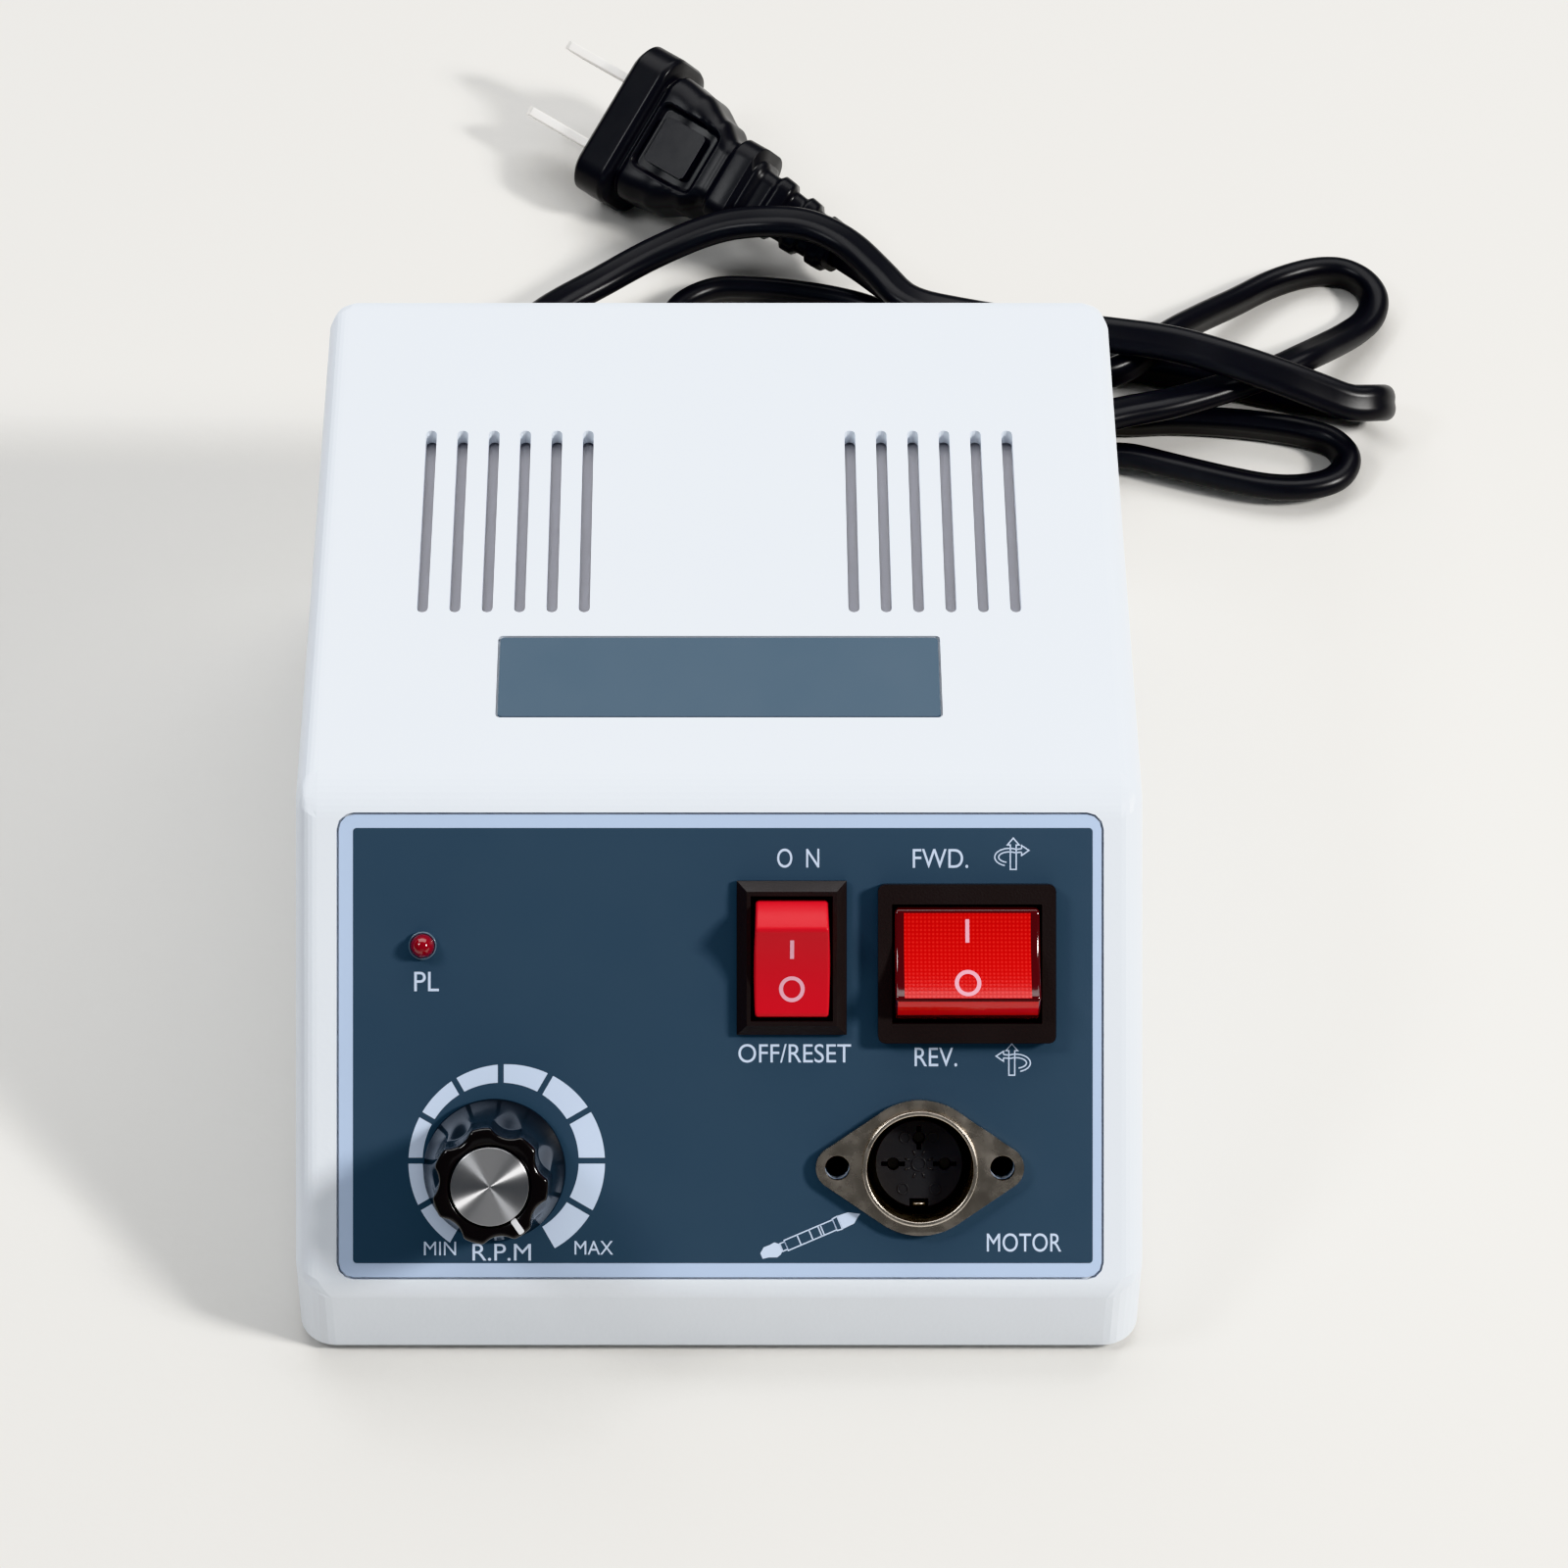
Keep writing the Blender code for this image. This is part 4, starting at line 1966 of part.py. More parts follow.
ALUMINIUM = new_material("spun_aluminium", (0.8, 0.8, 0.82), 0.3, 1.0)
BRASS = new_material("contact_brass", (0.8, 0.6, 0.25), 0.3, 1.0)
YELLOW_TAPE = new_material("coil_tape", (0.7, 0.5, 0.1), 0.5)
BOARD_GREEN = new_material("board_green", (0.03, 0.2, 0.06), 0.5)

CASING = new_frame("casing", (0, FRONT_Y, 0))
PANEL = new_frame("panel", (0, PANEL_RUN, TOP_Z), (PANEL_ANGLE, 0, 0), CASING)
KNOB = new_frame("knob_axis", (KNOB_U, -KNOB_V, SEAT), (0, 0, KNOB_REST_ANGLE), PANEL)
PLUG = new_frame("plug", PLUG_FACE, plug_matrix().to_euler(), CASING)

make_top_housing()
make_overlay()
make_name_plate()
make_base_plate()
make_feet()
make_case_screws()
make_knob()
make_potentiometer()
make_lamp()
make_socket()
make_switch(POWER_SWITCH, RED_PLASTIC)
make_switch(DIRECTION_SWITCH, RED_LENS)
make_transformer()
make_board()
make_fuse_holder()
make_cord_bushing()
make_plug()
make_power_cord()
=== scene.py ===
"""Looks of the dental laboratory micromotor's control box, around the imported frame.

Everything is in metres in the frame's own axes: +Z up, the panel faces -Y, and the table is z = 0.
"""

import math

import bmesh
import bpy
from mathutils import Matrix, Vector


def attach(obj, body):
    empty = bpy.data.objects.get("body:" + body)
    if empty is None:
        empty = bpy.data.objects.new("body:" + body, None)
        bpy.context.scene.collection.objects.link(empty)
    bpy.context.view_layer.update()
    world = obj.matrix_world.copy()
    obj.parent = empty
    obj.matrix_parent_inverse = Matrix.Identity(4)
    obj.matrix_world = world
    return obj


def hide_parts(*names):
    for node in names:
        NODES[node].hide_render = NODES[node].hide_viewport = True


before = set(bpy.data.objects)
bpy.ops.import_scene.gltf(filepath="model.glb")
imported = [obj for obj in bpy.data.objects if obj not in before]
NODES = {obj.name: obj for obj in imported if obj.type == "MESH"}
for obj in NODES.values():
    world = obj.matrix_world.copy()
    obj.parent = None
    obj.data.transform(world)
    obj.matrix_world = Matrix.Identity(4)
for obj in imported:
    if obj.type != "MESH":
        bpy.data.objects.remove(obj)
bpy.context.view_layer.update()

# Camera
CAMERA_PLACE = (0.0, -0.50535, 0.6111)
CAMERA_TILT = math.radians(45)
CAMERA_LENS = 123.4
CAMERA_SENSOR = 36.0
CAMERA_SHIFT = (0.0414, -0.25)

# Panel frame: origin on the bend above the sloping panel
PANEL_ORIGIN = Vector((0.0, -0.031648, 0.0616))
PANEL_TURN = math.radians(45)

# Power cord: a flat two-core lead
CORD_WIDTH = 0.0058
CORD_THICKNESS = 0.0037
CORD_CURVE_STEPS = 12
CORD_SMOOTHING = 3
CORD_SIDE_SMOOTHING = 9
CORD_GROOVE_SHARE = 0.06
CORD_GROOVE_WIDTH = 0.16
CORD_SQUARENESS = 0.6
CORD_TWISTS = (
    (0, 45), (12, 45), (15, 15), (22, 0), (25, 30), (29, 70), (36, 75), (47, 75),
    (50, 60), (60, 60), (68, 50), (72, 60), (82, 60), (91, 45),
)
CORD_EXIT = (-0.032, 0.085052, 0.0155)
CORD_ROUTE = (
    (-0.0321, 0.1705, 0.0151),
    (-0.0326, 0.178, 0.0135),
    (-0.032, 0.1865, 0.011),
    (-0.0275, 0.1945, 0.0091),
    (-0.0195, 0.201, 0.009),
    (-0.0105, 0.206, 0.011),
    (0.0, 0.2083, 0.0146),
    (0.0081, 0.2073, 0.0168),
    (0.0144, 0.2062, 0.017),
    (0.0205, 0.2025, 0.0165),
    (0.0255, 0.196, 0.0163),
    (0.03, 0.19, 0.0159),
    (0.039, 0.1864, 0.016),
    (0.05, 0.1842, 0.0157),
    (0.0625, 0.1822, 0.0156),
    (0.072, 0.1802, 0.0156),
    (0.0803, 0.1768, 0.0156),
    (0.0883, 0.1738, 0.0147),
    (0.0945, 0.1722, 0.013),
    (0.0995, 0.1713, 0.0114),
    (0.1037, 0.1725, 0.0102),
    (0.1055, 0.1756, 0.0071),
    (0.1037, 0.1786, 0.0041),
    (0.0995, 0.18, 0.0029),
    (0.0861, 0.1833, 0.0029),
    (0.076, 0.1859, 0.0029),
    (0.0648, 0.1883, 0.0029),
    (0.052, 0.1903, 0.0029),
    (0.04, 0.1934, 0.0029),
    (0.03, 0.1984, 0.0029),
    (0.0225, 0.2023, 0.0029),
    (0.0146, 0.2046, 0.0029),
    (0.0066, 0.2059, 0.0029),
    (-0.001, 0.2056, 0.0029),
    (-0.0068, 0.2012, 0.0029),
    (-0.009, 0.192, 0.0029),
    (-0.0085, 0.178, 0.0029),
    (-0.004, 0.165, 0.0029),
    (0.008, 0.158, 0.0029),
    (0.024, 0.1566, 0.0029),
    (0.042, 0.1615, 0.0029),
    (0.054, 0.1663, 0.0029),
    (0.0634, 0.1681, 0.0029),
    (0.0714, 0.1657, 0.0029),
    (0.0795, 0.163, 0.0029),
    (0.087, 0.1611, 0.0029),
    (0.0928, 0.1612, 0.0029),
    (0.0972, 0.163, 0.0029),
    (0.0991, 0.1669, 0.0029),
    (0.0972, 0.1708, 0.0029),
    (0.093, 0.1729, 0.0029),
    (0.0875, 0.1743, 0.0029),
    (0.081, 0.1753, 0.0029),
    (0.072, 0.1759, 0.0029),
    (0.0637, 0.1755, 0.0029),
    (0.05, 0.178, 0.0029),
    (0.036, 0.1806, 0.0034),
    (0.02, 0.1826, 0.0065),
    (0.004, 0.1838, 0.0094),
    (-0.008, 0.1829, 0.0094),
    (-0.0158, 0.1788, 0.0094),
    (-0.0187, 0.172, 0.0094),
    (-0.0158, 0.1652, 0.0094),
    (-0.008, 0.1611, 0.0094),
    (0.006, 0.16, 0.0094),
    (0.03, 0.1606, 0.0094),
    (0.05, 0.1662, 0.0094),
    (0.0626, 0.1709, 0.0094),
    (0.0714, 0.1732, 0.0094),
    (0.08, 0.1766, 0.0093),
    (0.0887, 0.1807, 0.0093),
    (0.093, 0.1838, 0.0089),
    (0.0977, 0.1892, 0.0063),
    (0.102, 0.1944, 0.004),
    (0.1052, 0.1987, 0.003),
    (0.1065, 0.2031, 0.0029),
    (0.1053, 0.2071, 0.0029),
    (0.102, 0.2098, 0.0029),
    (0.0975, 0.21, 0.0029),
    (0.0905, 0.207, 0.0032),
    (0.0835, 0.201, 0.0046),
    (0.077, 0.1946, 0.007),
    (0.071, 0.188, 0.0092),
    (0.0665, 0.1828, 0.0093),
    (0.061, 0.1797, 0.0093),
    (0.053, 0.181, 0.0093),
    (0.045, 0.1854, 0.0093),
    (0.037, 0.1912, 0.0093),
    (0.0302, 0.197, 0.0093),
    (0.0265, 0.201, 0.0092),
)
CASING_PLACE = Vector((0.0, -0.079348, 0.0))

# Plug, in the casing's frame
PLUG_FACE = Vector((-0.0159, 0.2363, 0.0125))
PLUG_HEADING = math.radians(-40.1)
PLUG_ROLL = math.radians(37.4)
PLUG_LENGTH = 0.0446
PLUG_END = Vector((-0.001, -0.004, 0.0446))
PLUG_END_DIRECTION = Vector((-0.05, 0.13, 1)).normalized()
PLUG_END_GAP = 0.0003
PLUG_WIDTH = 0.027
PLUG_THICKNESS = 0.015
PLUG_STRAIGHT_SHARE = 0.62
PLUG_ROUND_SHARE = 0.62
PLUG_SECTION_SHARES = (
    (0.0, 0.93, 0.88),
    (0.02, 1.0, 1.0),
    (0.13, 1.0, 1.0),
    (0.148, 0.97, 0.95),
    (0.162, 0.80, 0.78),
    (0.172, 0.80, 0.78),
    (0.185, 0.84, 0.86),
    (0.3, 0.79, 0.82),
    (0.42, 0.63, 0.76),
    (0.5, 0.47, 0.68),
    (0.52, 0.47, 0.66),
    (0.54, 0.56, 0.74),
    (0.6, 0.56, 0.72),
)
RELIEF_RIBS = 4
RELIEF_START_SHARES = (0.62, 0.43, 0.62)
RELIEF_END_SHARES = (1.0, 0.31, 0.44)
RELIEF_GROOVE_SHARE = 0.84
RELIEF_RIB_STEPS = 8
RELIEF_STEEPNESS = 2.4
PLUG_BODY_STEPS = 100
PLUG_CORNER_STEPS = 10
PLUG_FACE_STEPS = 64
PLUG_SIDE_STEPS = 8
RECESS_SIZE = 0.0122
RECESS_DEPTH = 0.0012
RECESS_CORNER = 0.0016
RECESS_SOFT = 0.0007
PAD_SIZE = 0.0082
PAD_THICKNESS = 0.0016
PAD_CORNER = 0.0009
PAD_CENTRE = 0.0144
PAD_LEVEL = 0.00545
PAD_LEAN = math.radians(3.5)
PAD_EDGE = 0.0004
BLADE_SPACING = 0.0127
BLADE_LENGTH = 0.0158
BLADE_WIDTH = 0.0063
BLADE_THICKNESS = 0.0015
BLADE_TIP = 0.0015
BLADE_ROOT = 0.004
BLADE_EDGE = 0.0002
BLADE_HOLE_RADIUS = 0.0015
BLADE_HOLE_PLACE = -0.0115
BLADE_HOLE_STEPS = 32

# Panel, with its places measured across and down from the bend
SEAT = 0.0001
OVERLAY_TOP = -0.0002
PRINT_STEP = 0.00002
PRINT_EDGES = (-0.0493, 0.0503, 0.0051, 0.0637)
PRINT_CORNER = 0.0005
SHAFT_HOLE_RADIUS = 0.0038
LAMP_HOLE_RADIUS = 0.0018
SOCKET_OPENING_RADIUS = 0.0085
OPENING_CORNER = 0.0002
POWER_OPENING = (0.0034, 0.0161, -0.032, -0.013)
DIRECTION_OPENING = (0.0224, 0.0442, -0.0327, -0.0137)
DIAL_PLACE = (-0.0294, 0.0499)
DIAL_RADIUS = 0.0105
DIAL_OUTER_PLACE = (-0.0286, 0.05015)
DIAL_OUTER_RADIUS = 0.01323
DIAL_GAP = 0.0008
DIAL_START = math.radians(-60)
DIAL_STEP = math.radians(30)
DIAL_SEGMENTS = 10
DIAL_ARC_STEPS = 16
ICON_STROKE = 0.00017
PIXELS_PER_METRE = 7580.0
PANEL_PIXEL = (733.75, 806.0)

# Words on the panel: middle, width and height in the photograph's pixels
PANEL_WORDS = (
    ("O  N", (814.5, 875.5), 43, 19.5),
    ("OFF/RESET", (810.9, 1074.7), 115, 19),
    ("FWD.", (959.7, 875.9), 56.6, 19.4),
    ("REV.", (955, 1078.4), 43.4, 19.4),
    ("MIN", (448.9, 1273.8), 32.8, 14),
    ("R.P.M", (511.9, 1277.8), 59.7, 17.2),
    ("MAX", (605.9, 1273.1), 39.4, 14),
    ("MOTOR", (1045, 1267.8), 76, 18.75),
    ("PL", (435.2, 1001.4), 25.2, 19.8),
)

# Pictograms on the panel, in the photograph's pixels from their middle; the handpiece's outlines
# are a share of its length and pixels aside
TURNING_ICONS = (((1034, 871), 1), ((1032.5, 1081), -1))
ARROW_OUTLINE = ((-3, 16), (-3, -9), (-6, -9), (0, -16), (6, -9), (3, -9), (3, 16))
ARROW_HEAD = ((8.5, -1.6), (8.5, 1.8), (16, -3.4), (8.5, -8.4), (8.5, -5.2))
TURN_MIDDLE = (-4, 3.5)
TURN_STEPS = 16
TURN_OUTER = (15, 9, -62, -190)
TURN_INNER = (11, 5.4, -60, -195)
HANDPIECE_ENDS = ((777, 1281.5), (878, 1238.5))
HANDPIECE_HALF = 5.6
HANDPIECE_NOSE = (
    (0.0, 3.2), (0.0, -3.0), (0.05, -7.2), (0.11, -7.0), (0.16, -7.6),
    (0.2, -3.6), (0.2, 3.6), (0.17, 6.4), (0.13, 7.6), (0.06, 4.4),
)
HANDPIECE_TAIL = ((0.79, 7.2), (0.79, -7.4), (0.9, -6.4), (1.0, 0.0), (0.97, 1.6), (0.91, 6.6))
HANDPIECE_SLEEVE = ((0.25, -5.6), (0.74, -5.6), (0.74, 5.6), (0.25, 5.6))
HANDPIECE_NECK = ((0.2, -4.2), (0.25, -4.2), (0.25, 4.2), (0.2, 4.2))
HANDPIECE_SHOULDER = ((0.74, -6.4), (0.79, -7.0), (0.79, 7.0), (0.74, 6.4))
HANDPIECE_RINGS = (0.38, 0.5, 0.59, 0.615)

# Knob
KNOB_PLACE = (-0.0302, 0.051)
KNOB_REST_ANGLE = math.radians(-55)
KNOB_LOW = 0.0006
KNOB_TOP = 0.0161
KNOB_SKIRT_RADIUS = 0.00965
KNOB_TOP_RADIUS = 0.00775
KNOB_FLARE = 4
KNOB_LEVELS = 44
KNOB_FLUTES = 7
KNOB_SEGMENTS = 60 * KNOB_FLUTES
KNOB_SCOOP_RADIUS = 0.003
KNOB_SCOOP_DEPTH = 0.001
KNOB_SCOOP_LOW = 0.0046
KNOB_SCOOP_SLOPE = 0.24
KNOB_ROUNDING = 0.0003
KNOB_EDGE = 0.0006
KNOB_EDGE_STEPS = 6
KNOB_FOOT_EDGE = 0.00015
KNOB_SEAT_RADIUS = 0.0055
KNOB_SEAT_DEPTH = 0.0011
KNOB_SEAT_EDGE = 0.0001
CAP_RADIUS = 0.00517
CAP_LOW = 0.0153
CAP_TOP = 0.0164
CAP_EDGE = 0.00012
POINTER_SPAN = (0.0053, 0.0075)
POINTER_WIDTH = 0.00084
POINTER_DEPTH = 0.0006
POINTER_CORNER = 0.000252
POINTER_EDGE = 0.00012

# Indicator lamp
LAMP_PLACE = (-0.0399, 0.0209)
LAMP_RADIUS = 0.0016
LAMP_RISE = 0.0016
LAMP_DEPTH = 0.003
LAMP_DOME_LOW = 0.0006
LAMP_STEPS = 16
LAMP_SEGMENTS = 48
LAMP_RIM_RADIUS = 0.0019
LAMP_RIM = 0.001
LAMP_RIM_TOP = 0.0006
LAMP_RIM_EDGE = 0.0002
LAMP_FIT = 0.00002

# Socket
SOCKET_PLACE = (0.027, 0.0507)
SOCKET_FLANGE_RADIUS = 0.0091
SOCKET_EAR_RADIUS = 0.0029
SOCKET_EAR_X = 0.0111
EAR_STEPS = 20
FLANGE_STEPS = 32
FLANGE_BORE_STEPS = 128
SOCKET_HOLE_RADIUS = 0.00165
SOCKET_FLANGE = 0.0012
SOCKET_EDGE = 0.00032
SOCKET_FIT = 0.0002
SOCKET_LIP_TOP = 0.0023
SOCKET_LIP_RADIUS = 0.0078
LIP_FOOT_SHARES = (0.9, 0.95)
LIP_EDGE = 0.00036
LIP_SEGMENTS = 160
SOCKET_BORE_RADIUS = 0.0071
SOCKET_SHELL_RADIUS = 0.0076
SOCKET_SHELL_DEPTH = 0.012
INSERT_RADIUS = 0.00585
INSERT_FACE = -0.0028
INSERT_DEPTH = 0.005
INSERT_EDGE = 0.00012
INSERT_FIT = 0.0003
INSERT_STEPS = 96
CONTACT_CIRCLE_RADIUS = 0.0035
CONTACT_ANGLES = (math.pi, math.pi / 2, 0.0)
KEYWAY_WIDTH = 0.0025
KEYWAY_DEPTH = 0.0012
KEYHOLE_RADIUS = 0.00085
KEYHOLE_SLOT = 0.0003
KEYHOLE_REACH = 0.0016
KEYHOLE_STEPS = 12
MARK_RING_DEGREES = (62, 118, -57, -123)
MARK_CIRCLE_RADIUS = 0.004
MARK_RING = (0.0007, 0.00016)
HUB_RING = (0.0009, 0.0002)
RING_HEIGHT_SHARE = 0.7
RING_EDGE_SHARE = 1 / 3
RING_SEGMENTS = 32
HUB_RIBS = 8
HUB_RIB_SPAN = (0.0013, 0.002)
HUB_RIB_WIDTH = 0.00018
HUB_RIB_HEIGHT = 0.0002
SPRING_SPAN = (-0.0008, 0.0008, -0.0055, -0.00525)
SPRING_CORNER = 0.0001
SPRING_DEPTH = 0.004

# Rocker switches
RIDGE_ANGLE = math.radians(52)
END_ANGLE = math.radians(95)
ROCKER_SAG = 0.001
ROCKER_BOW_REACH = 0.002
ROCKER_END_STEPS = 12
ROCKER_TOP_STEPS = 24
ROCKER_EDGE_STEPS = 4
MARK_STROKE = 0.00054
MARK_CORNER = 0.00005
MARK_LIFT = 0.00002
MARK_CUTS = 2
POWER_PIVOT = Vector((0.00976, -0.047275, 0.045407))
POWER_TURN = math.radians(65)
POWER_RADIUS = 0.0081
POWER_WIDTH = 0.0102
POWER_BULGE = 0.0004
POWER_EDGE = 0.0004
POWER_BAR = (0.00169, 0.00467)
POWER_RING = (-0.00271, 0.00172, 0.0018)
DIRECTION_PIVOT = Vector((0.0333, -0.04777, 0.044912))
DIRECTION_TURN = math.radians(27)
DIRECTION_RADIUS = 0.0077
DIRECTION_WIDTH = 0.0195
DIRECTION_BULGE = 0.0001
DIRECTION_EDGE = 0.0005
DIRECTION_BAR = (0.00183, 0.00492)
DIRECTION_RING = (-0.00374, 0.00177, 0.00186)
LENS_STEPS = 32
LENS_LIFT = 0.00005
GRID_HALF = 0.0085
GRID_ENDS = (-0.0059, 0.0057)
GRID_PITCH = 0.00054
GRID_RED = (0.62, 0.004, 0.004)
GRID_STOPS = ((0.12, (0.74, 0.030, 0.026)), (0.42, (0.56, 0.002, 0.002)))
GRID_ROUGHNESS = 0.3
GRID_COAT = 0.3
GRID_BUMP = 0.4
GRID_BUMP_DEPTH = GRID_PITCH / 8
BAND_HALF = 0.0094
BAND_ANGLES = (math.radians(54.5), math.radians(77))

# Slot liners
LINER_SPANS = ((-0.0442, -0.0166), (0.0166, 0.0442))
LINER_ENDS = (-0.0025, 0.0395)
LINER_TOP = 0.0587
LINER_THICKNESS = 0.0003
LINER_CORNER = 0.001

# Materials
COAT_ROUGHNESS = 0.08
NOISE_DETAIL = 3.0
GRAIN_SCALE = 2600
GRAIN_DEPTH = 0.00002
SHEEN_SPREAD = (0.3, 0.7)
ROUGHNESS_BELOW = 0.04
ROUGHNESS_ABOVE = 0.05
GLOSS_SCALE = 90
SHADE_SHARE = 0.98
SHADE_SCALE = 30
SHADE_SPREAD = (0.35, 0.65)
METAL_GRAIN_SCALE = 900
METAL_GRAIN_DEPTH = 0.000006
METAL_GLOSS_SHARES = (0.7, 1.5)
METAL_GLOSS_SCALE = 400
BLADE_METALLIC = 0.3
SPUN_RINGS_SCALE = 9000
SPUN_RINGS_DETAIL = 2
SPUN_RINGS_DEPTH = 0.000004

# Meshes
SAME_PLACE = 0.0000001
WELD = 0.000001
SOFT_ANGLE = math.radians(32)
FILLET_SHARE = 0.48
SHARPEST_BEND = 0.4
LETTER_STEPS = 6

# Stage
FLOOR_REACH = 3.0
FLOOR_COLOUR = (0.80, 0.785, 0.755)
FLOOR_ROUGHNESS = 0.85
FLOOR_GRAIN_SCALE = 500
FLOOR_GRAIN_DEPTH = 0.0002
FLOOR_GRAIN_SHARE = 0.25
LIGHT_AIM = Vector((0.0, -0.04, 0.03))
WORLD_COLOUR = (0.93, 0.96, 1.0)
WORLD_STRENGTH = 0.15
LIGHTS = (
    ("key_light", (0.72, -0.252, 0.646), 1.0, (0.16, 0.16), 7.6, (1.0, 0.985, 0.96)),
    ("second_light", (-0.58, -0.129, 0.804), 1.0, (0.25, 0.25), 2.3, (0.97, 0.985, 1.0)),
    ("top_softbox", (0.0, 0.49, 0.72), 0.87, (1.2, 0.7), 5.8, (1.0, 1.0, 1.0)),
    ("front_softbox", (0.0, -0.98, 0.19), 1.2, (1.0, 0.4), 0.5, (1.0, 1.0, 1.0)),
)

PANEL = Matrix.Translation(PANEL_ORIGIN) @ Matrix.Rotation(PANEL_TURN, 4, "X")


# Shaders


def new_material(name, colour, roughness, metallic=0.0, coat=0.0):
    material = bpy.data.materials.new(name)
    material.use_nodes = True
    shader = shader_of(material)
    shader.inputs["Base Color"].default_value = (*colour, 1)
    shader.inputs["Roughness"].default_value = roughness
    shader.inputs["Metallic"].default_value = metallic
    shader.inputs["Coat Weight"].default_value = coat
    shader.inputs["Coat Roughness"].default_value = COAT_ROUGHNESS
    return material


def shader_of(material):
    return material.node_tree.nodes["Principled BSDF"]


def add_node(material, kind, values=(), **settings):
    """A shader node with its settings, and with values on its sockets by name or number."""
    node = material.node_tree.nodes.new(f"ShaderNode{kind}")
    for name, value in settings.items():
        setattr(node, name, value)
    for socket, value in dict(values).items():
        node.inputs[socket].default_value = value
    return node


def wire(material, output, socket):
    material.node_tree.links.new(output, socket)


def noise_of(material, scale):
    """A noise pattern over the piece's own metres."""
    place = add_node(material, "TexCoord")
    noise = add_node(material, "TexNoise", {"Scale": scale, "Detail": NOISE_DETAIL})
    wire(material, place.outputs["Object"], noise.inputs["Vector"])
    return noise.outputs["Fac"]


def add_bump(material, height, depth, strength=1.0, invert=False):
    bump = add_node(material, "Bump", {"Strength": strength, "Distance": depth}, invert=invert)
    wire(material, height, bump.inputs["Height"])
    wire(material, bump.outputs["Normal"], shader_of(material).inputs["Normal"])


def add_sheen_patches(material, low, high, scale):
    """Roughness that wanders between two values, as on a handled surface."""
    start, end = SHEEN_SPREAD
    values = {"From Min": start, "From Max": end, "To Min": low, "To Max": high}
    spread = add_node(material, "MapRange", values)
    wire(material, noise_of(material, scale), spread.inputs["Value"])
    wire(material, spread.outputs["Result"], shader_of(material).inputs["Roughness"])


def add_ramp(material, factor, *stops):
    """Base colour that goes over from one stop, a position and a colour, to the other."""
    ramp = add_node(material, "ValToRGB")
    for element, (position, colour) in zip(ramp.color_ramp.elements, stops):
        element.position = position
        element.color = (*colour, 1)
    wire(material, factor, ramp.inputs["Fac"])
    wire(material, ramp.outputs["Color"], shader_of(material).inputs["Base Color"])


def moulded(
    name, colour, roughness, scale=GRAIN_SCALE, depth=GRAIN_DEPTH, coat=0.0, specular=0.5
):
    """A moulded plastic with a fine grain, slightly uneven gloss and two near shades."""
    material = new_material(name, colour, roughness, coat=coat)
    shader_of(material).inputs["Specular IOR Level"].default_value = specular
    add_bump(material, noise_of(material, scale), depth)
    add_sheen_patches(material, roughness - ROUGHNESS_BELOW, roughness + ROUGHNESS_ABOVE, GLOSS_SCALE)
    shade = [channel * SHADE_SHARE for channel in colour]
    start, end = SHADE_SPREAD
    add_ramp(material, noise_of(material, SHADE_SCALE), (start, shade), (end, colour))
    return material


def metal(name, colour, roughness):
    """A plated or cast metal with a fine grain and uneven gloss."""
    material = new_material(name, colour, roughness, metallic=1.0)
    add_bump(material, noise_of(material, METAL_GRAIN_SCALE), METAL_GRAIN_DEPTH)
    low, high = METAL_GLOSS_SHARES
    add_sheen_patches(material, roughness * low, roughness * high, METAL_GLOSS_SCALE)
    return material


def spun_metal(name, colour, roughness, centre):
    """Metal turned on a lathe: its gloss is drawn out along the radius, into bright rays."""
    material = new_material(name, colour, roughness, metallic=1.0)
    shader = shader_of(material)
    shader.inputs["Anisotropic"].default_value = 1.0
    place = add_node(material, "TexCoord")
    from_centre = add_node(material, "VectorMath", {1: centre}, operation="SUBTRACT")
    to_world = add_node(
        material, "VectorTransform", vector_type="VECTOR", convert_from="OBJECT", convert_to="WORLD"
    )
    reach = add_node(material, "VectorMath", operation="LENGTH")
    values = {"Scale": SPUN_RINGS_SCALE, "Detail": SPUN_RINGS_DETAIL}
    rings = add_node(material, "TexNoise", values, noise_dimensions="1D")
    wire(material, place.outputs["Object"], from_centre.inputs[0])
    wire(material, from_centre.outputs["Vector"], to_world.inputs["Vector"])
    wire(material, to_world.outputs["Vector"], shader.inputs["Tangent"])
    wire(material, from_centre.outputs["Vector"], reach.inputs[0])
    wire(material, reach.outputs["Value"], rings.inputs["W"])
    add_bump(material, rings.outputs["Fac"], SPUN_RINGS_DEPTH)
    return material


def dotted_red():
    """Clear red plastic over a moulded grid of small lenses, in the direction rocker's own axes."""
    material = new_material("lens_grid", GRID_RED, GRID_ROUGHNESS, coat=GRID_COAT)
    to_own = direction_place().inverted()
    turn = {"Location": to_own.translation, "Rotation": to_own.to_euler()}
    cell = {1: (1 / GRID_PITCH, 1 / GRID_PITCH, 0)}
    place = add_node(material, "TexCoord")
    own = add_node(material, "Mapping", turn)
    cells = add_node(material, "VectorMath", cell, operation="MULTIPLY")
    inside = add_node(material, "VectorMath", operation="FRACTION")
    middle = add_node(material, "VectorMath", {1: (0.5, 0.5, 0)}, operation="SUBTRACT")
    reach = add_node(material, "VectorMath", operation="LENGTH")
    wire(material, place.outputs["Object"], own.inputs["Vector"])
    wire(material, own.outputs["Vector"], cells.inputs[0])
    wire(material, cells.outputs["Vector"], inside.inputs[0])
    wire(material, inside.outputs["Vector"], middle.inputs[0])
    wire(material, middle.outputs["Vector"], reach.inputs[0])
    add_ramp(material, reach.outputs["Value"], *GRID_STOPS)
    add_bump(material, reach.outputs["Value"], GRID_BUMP_DEPTH, GRID_BUMP, invert=True)
    return material


# Meshes


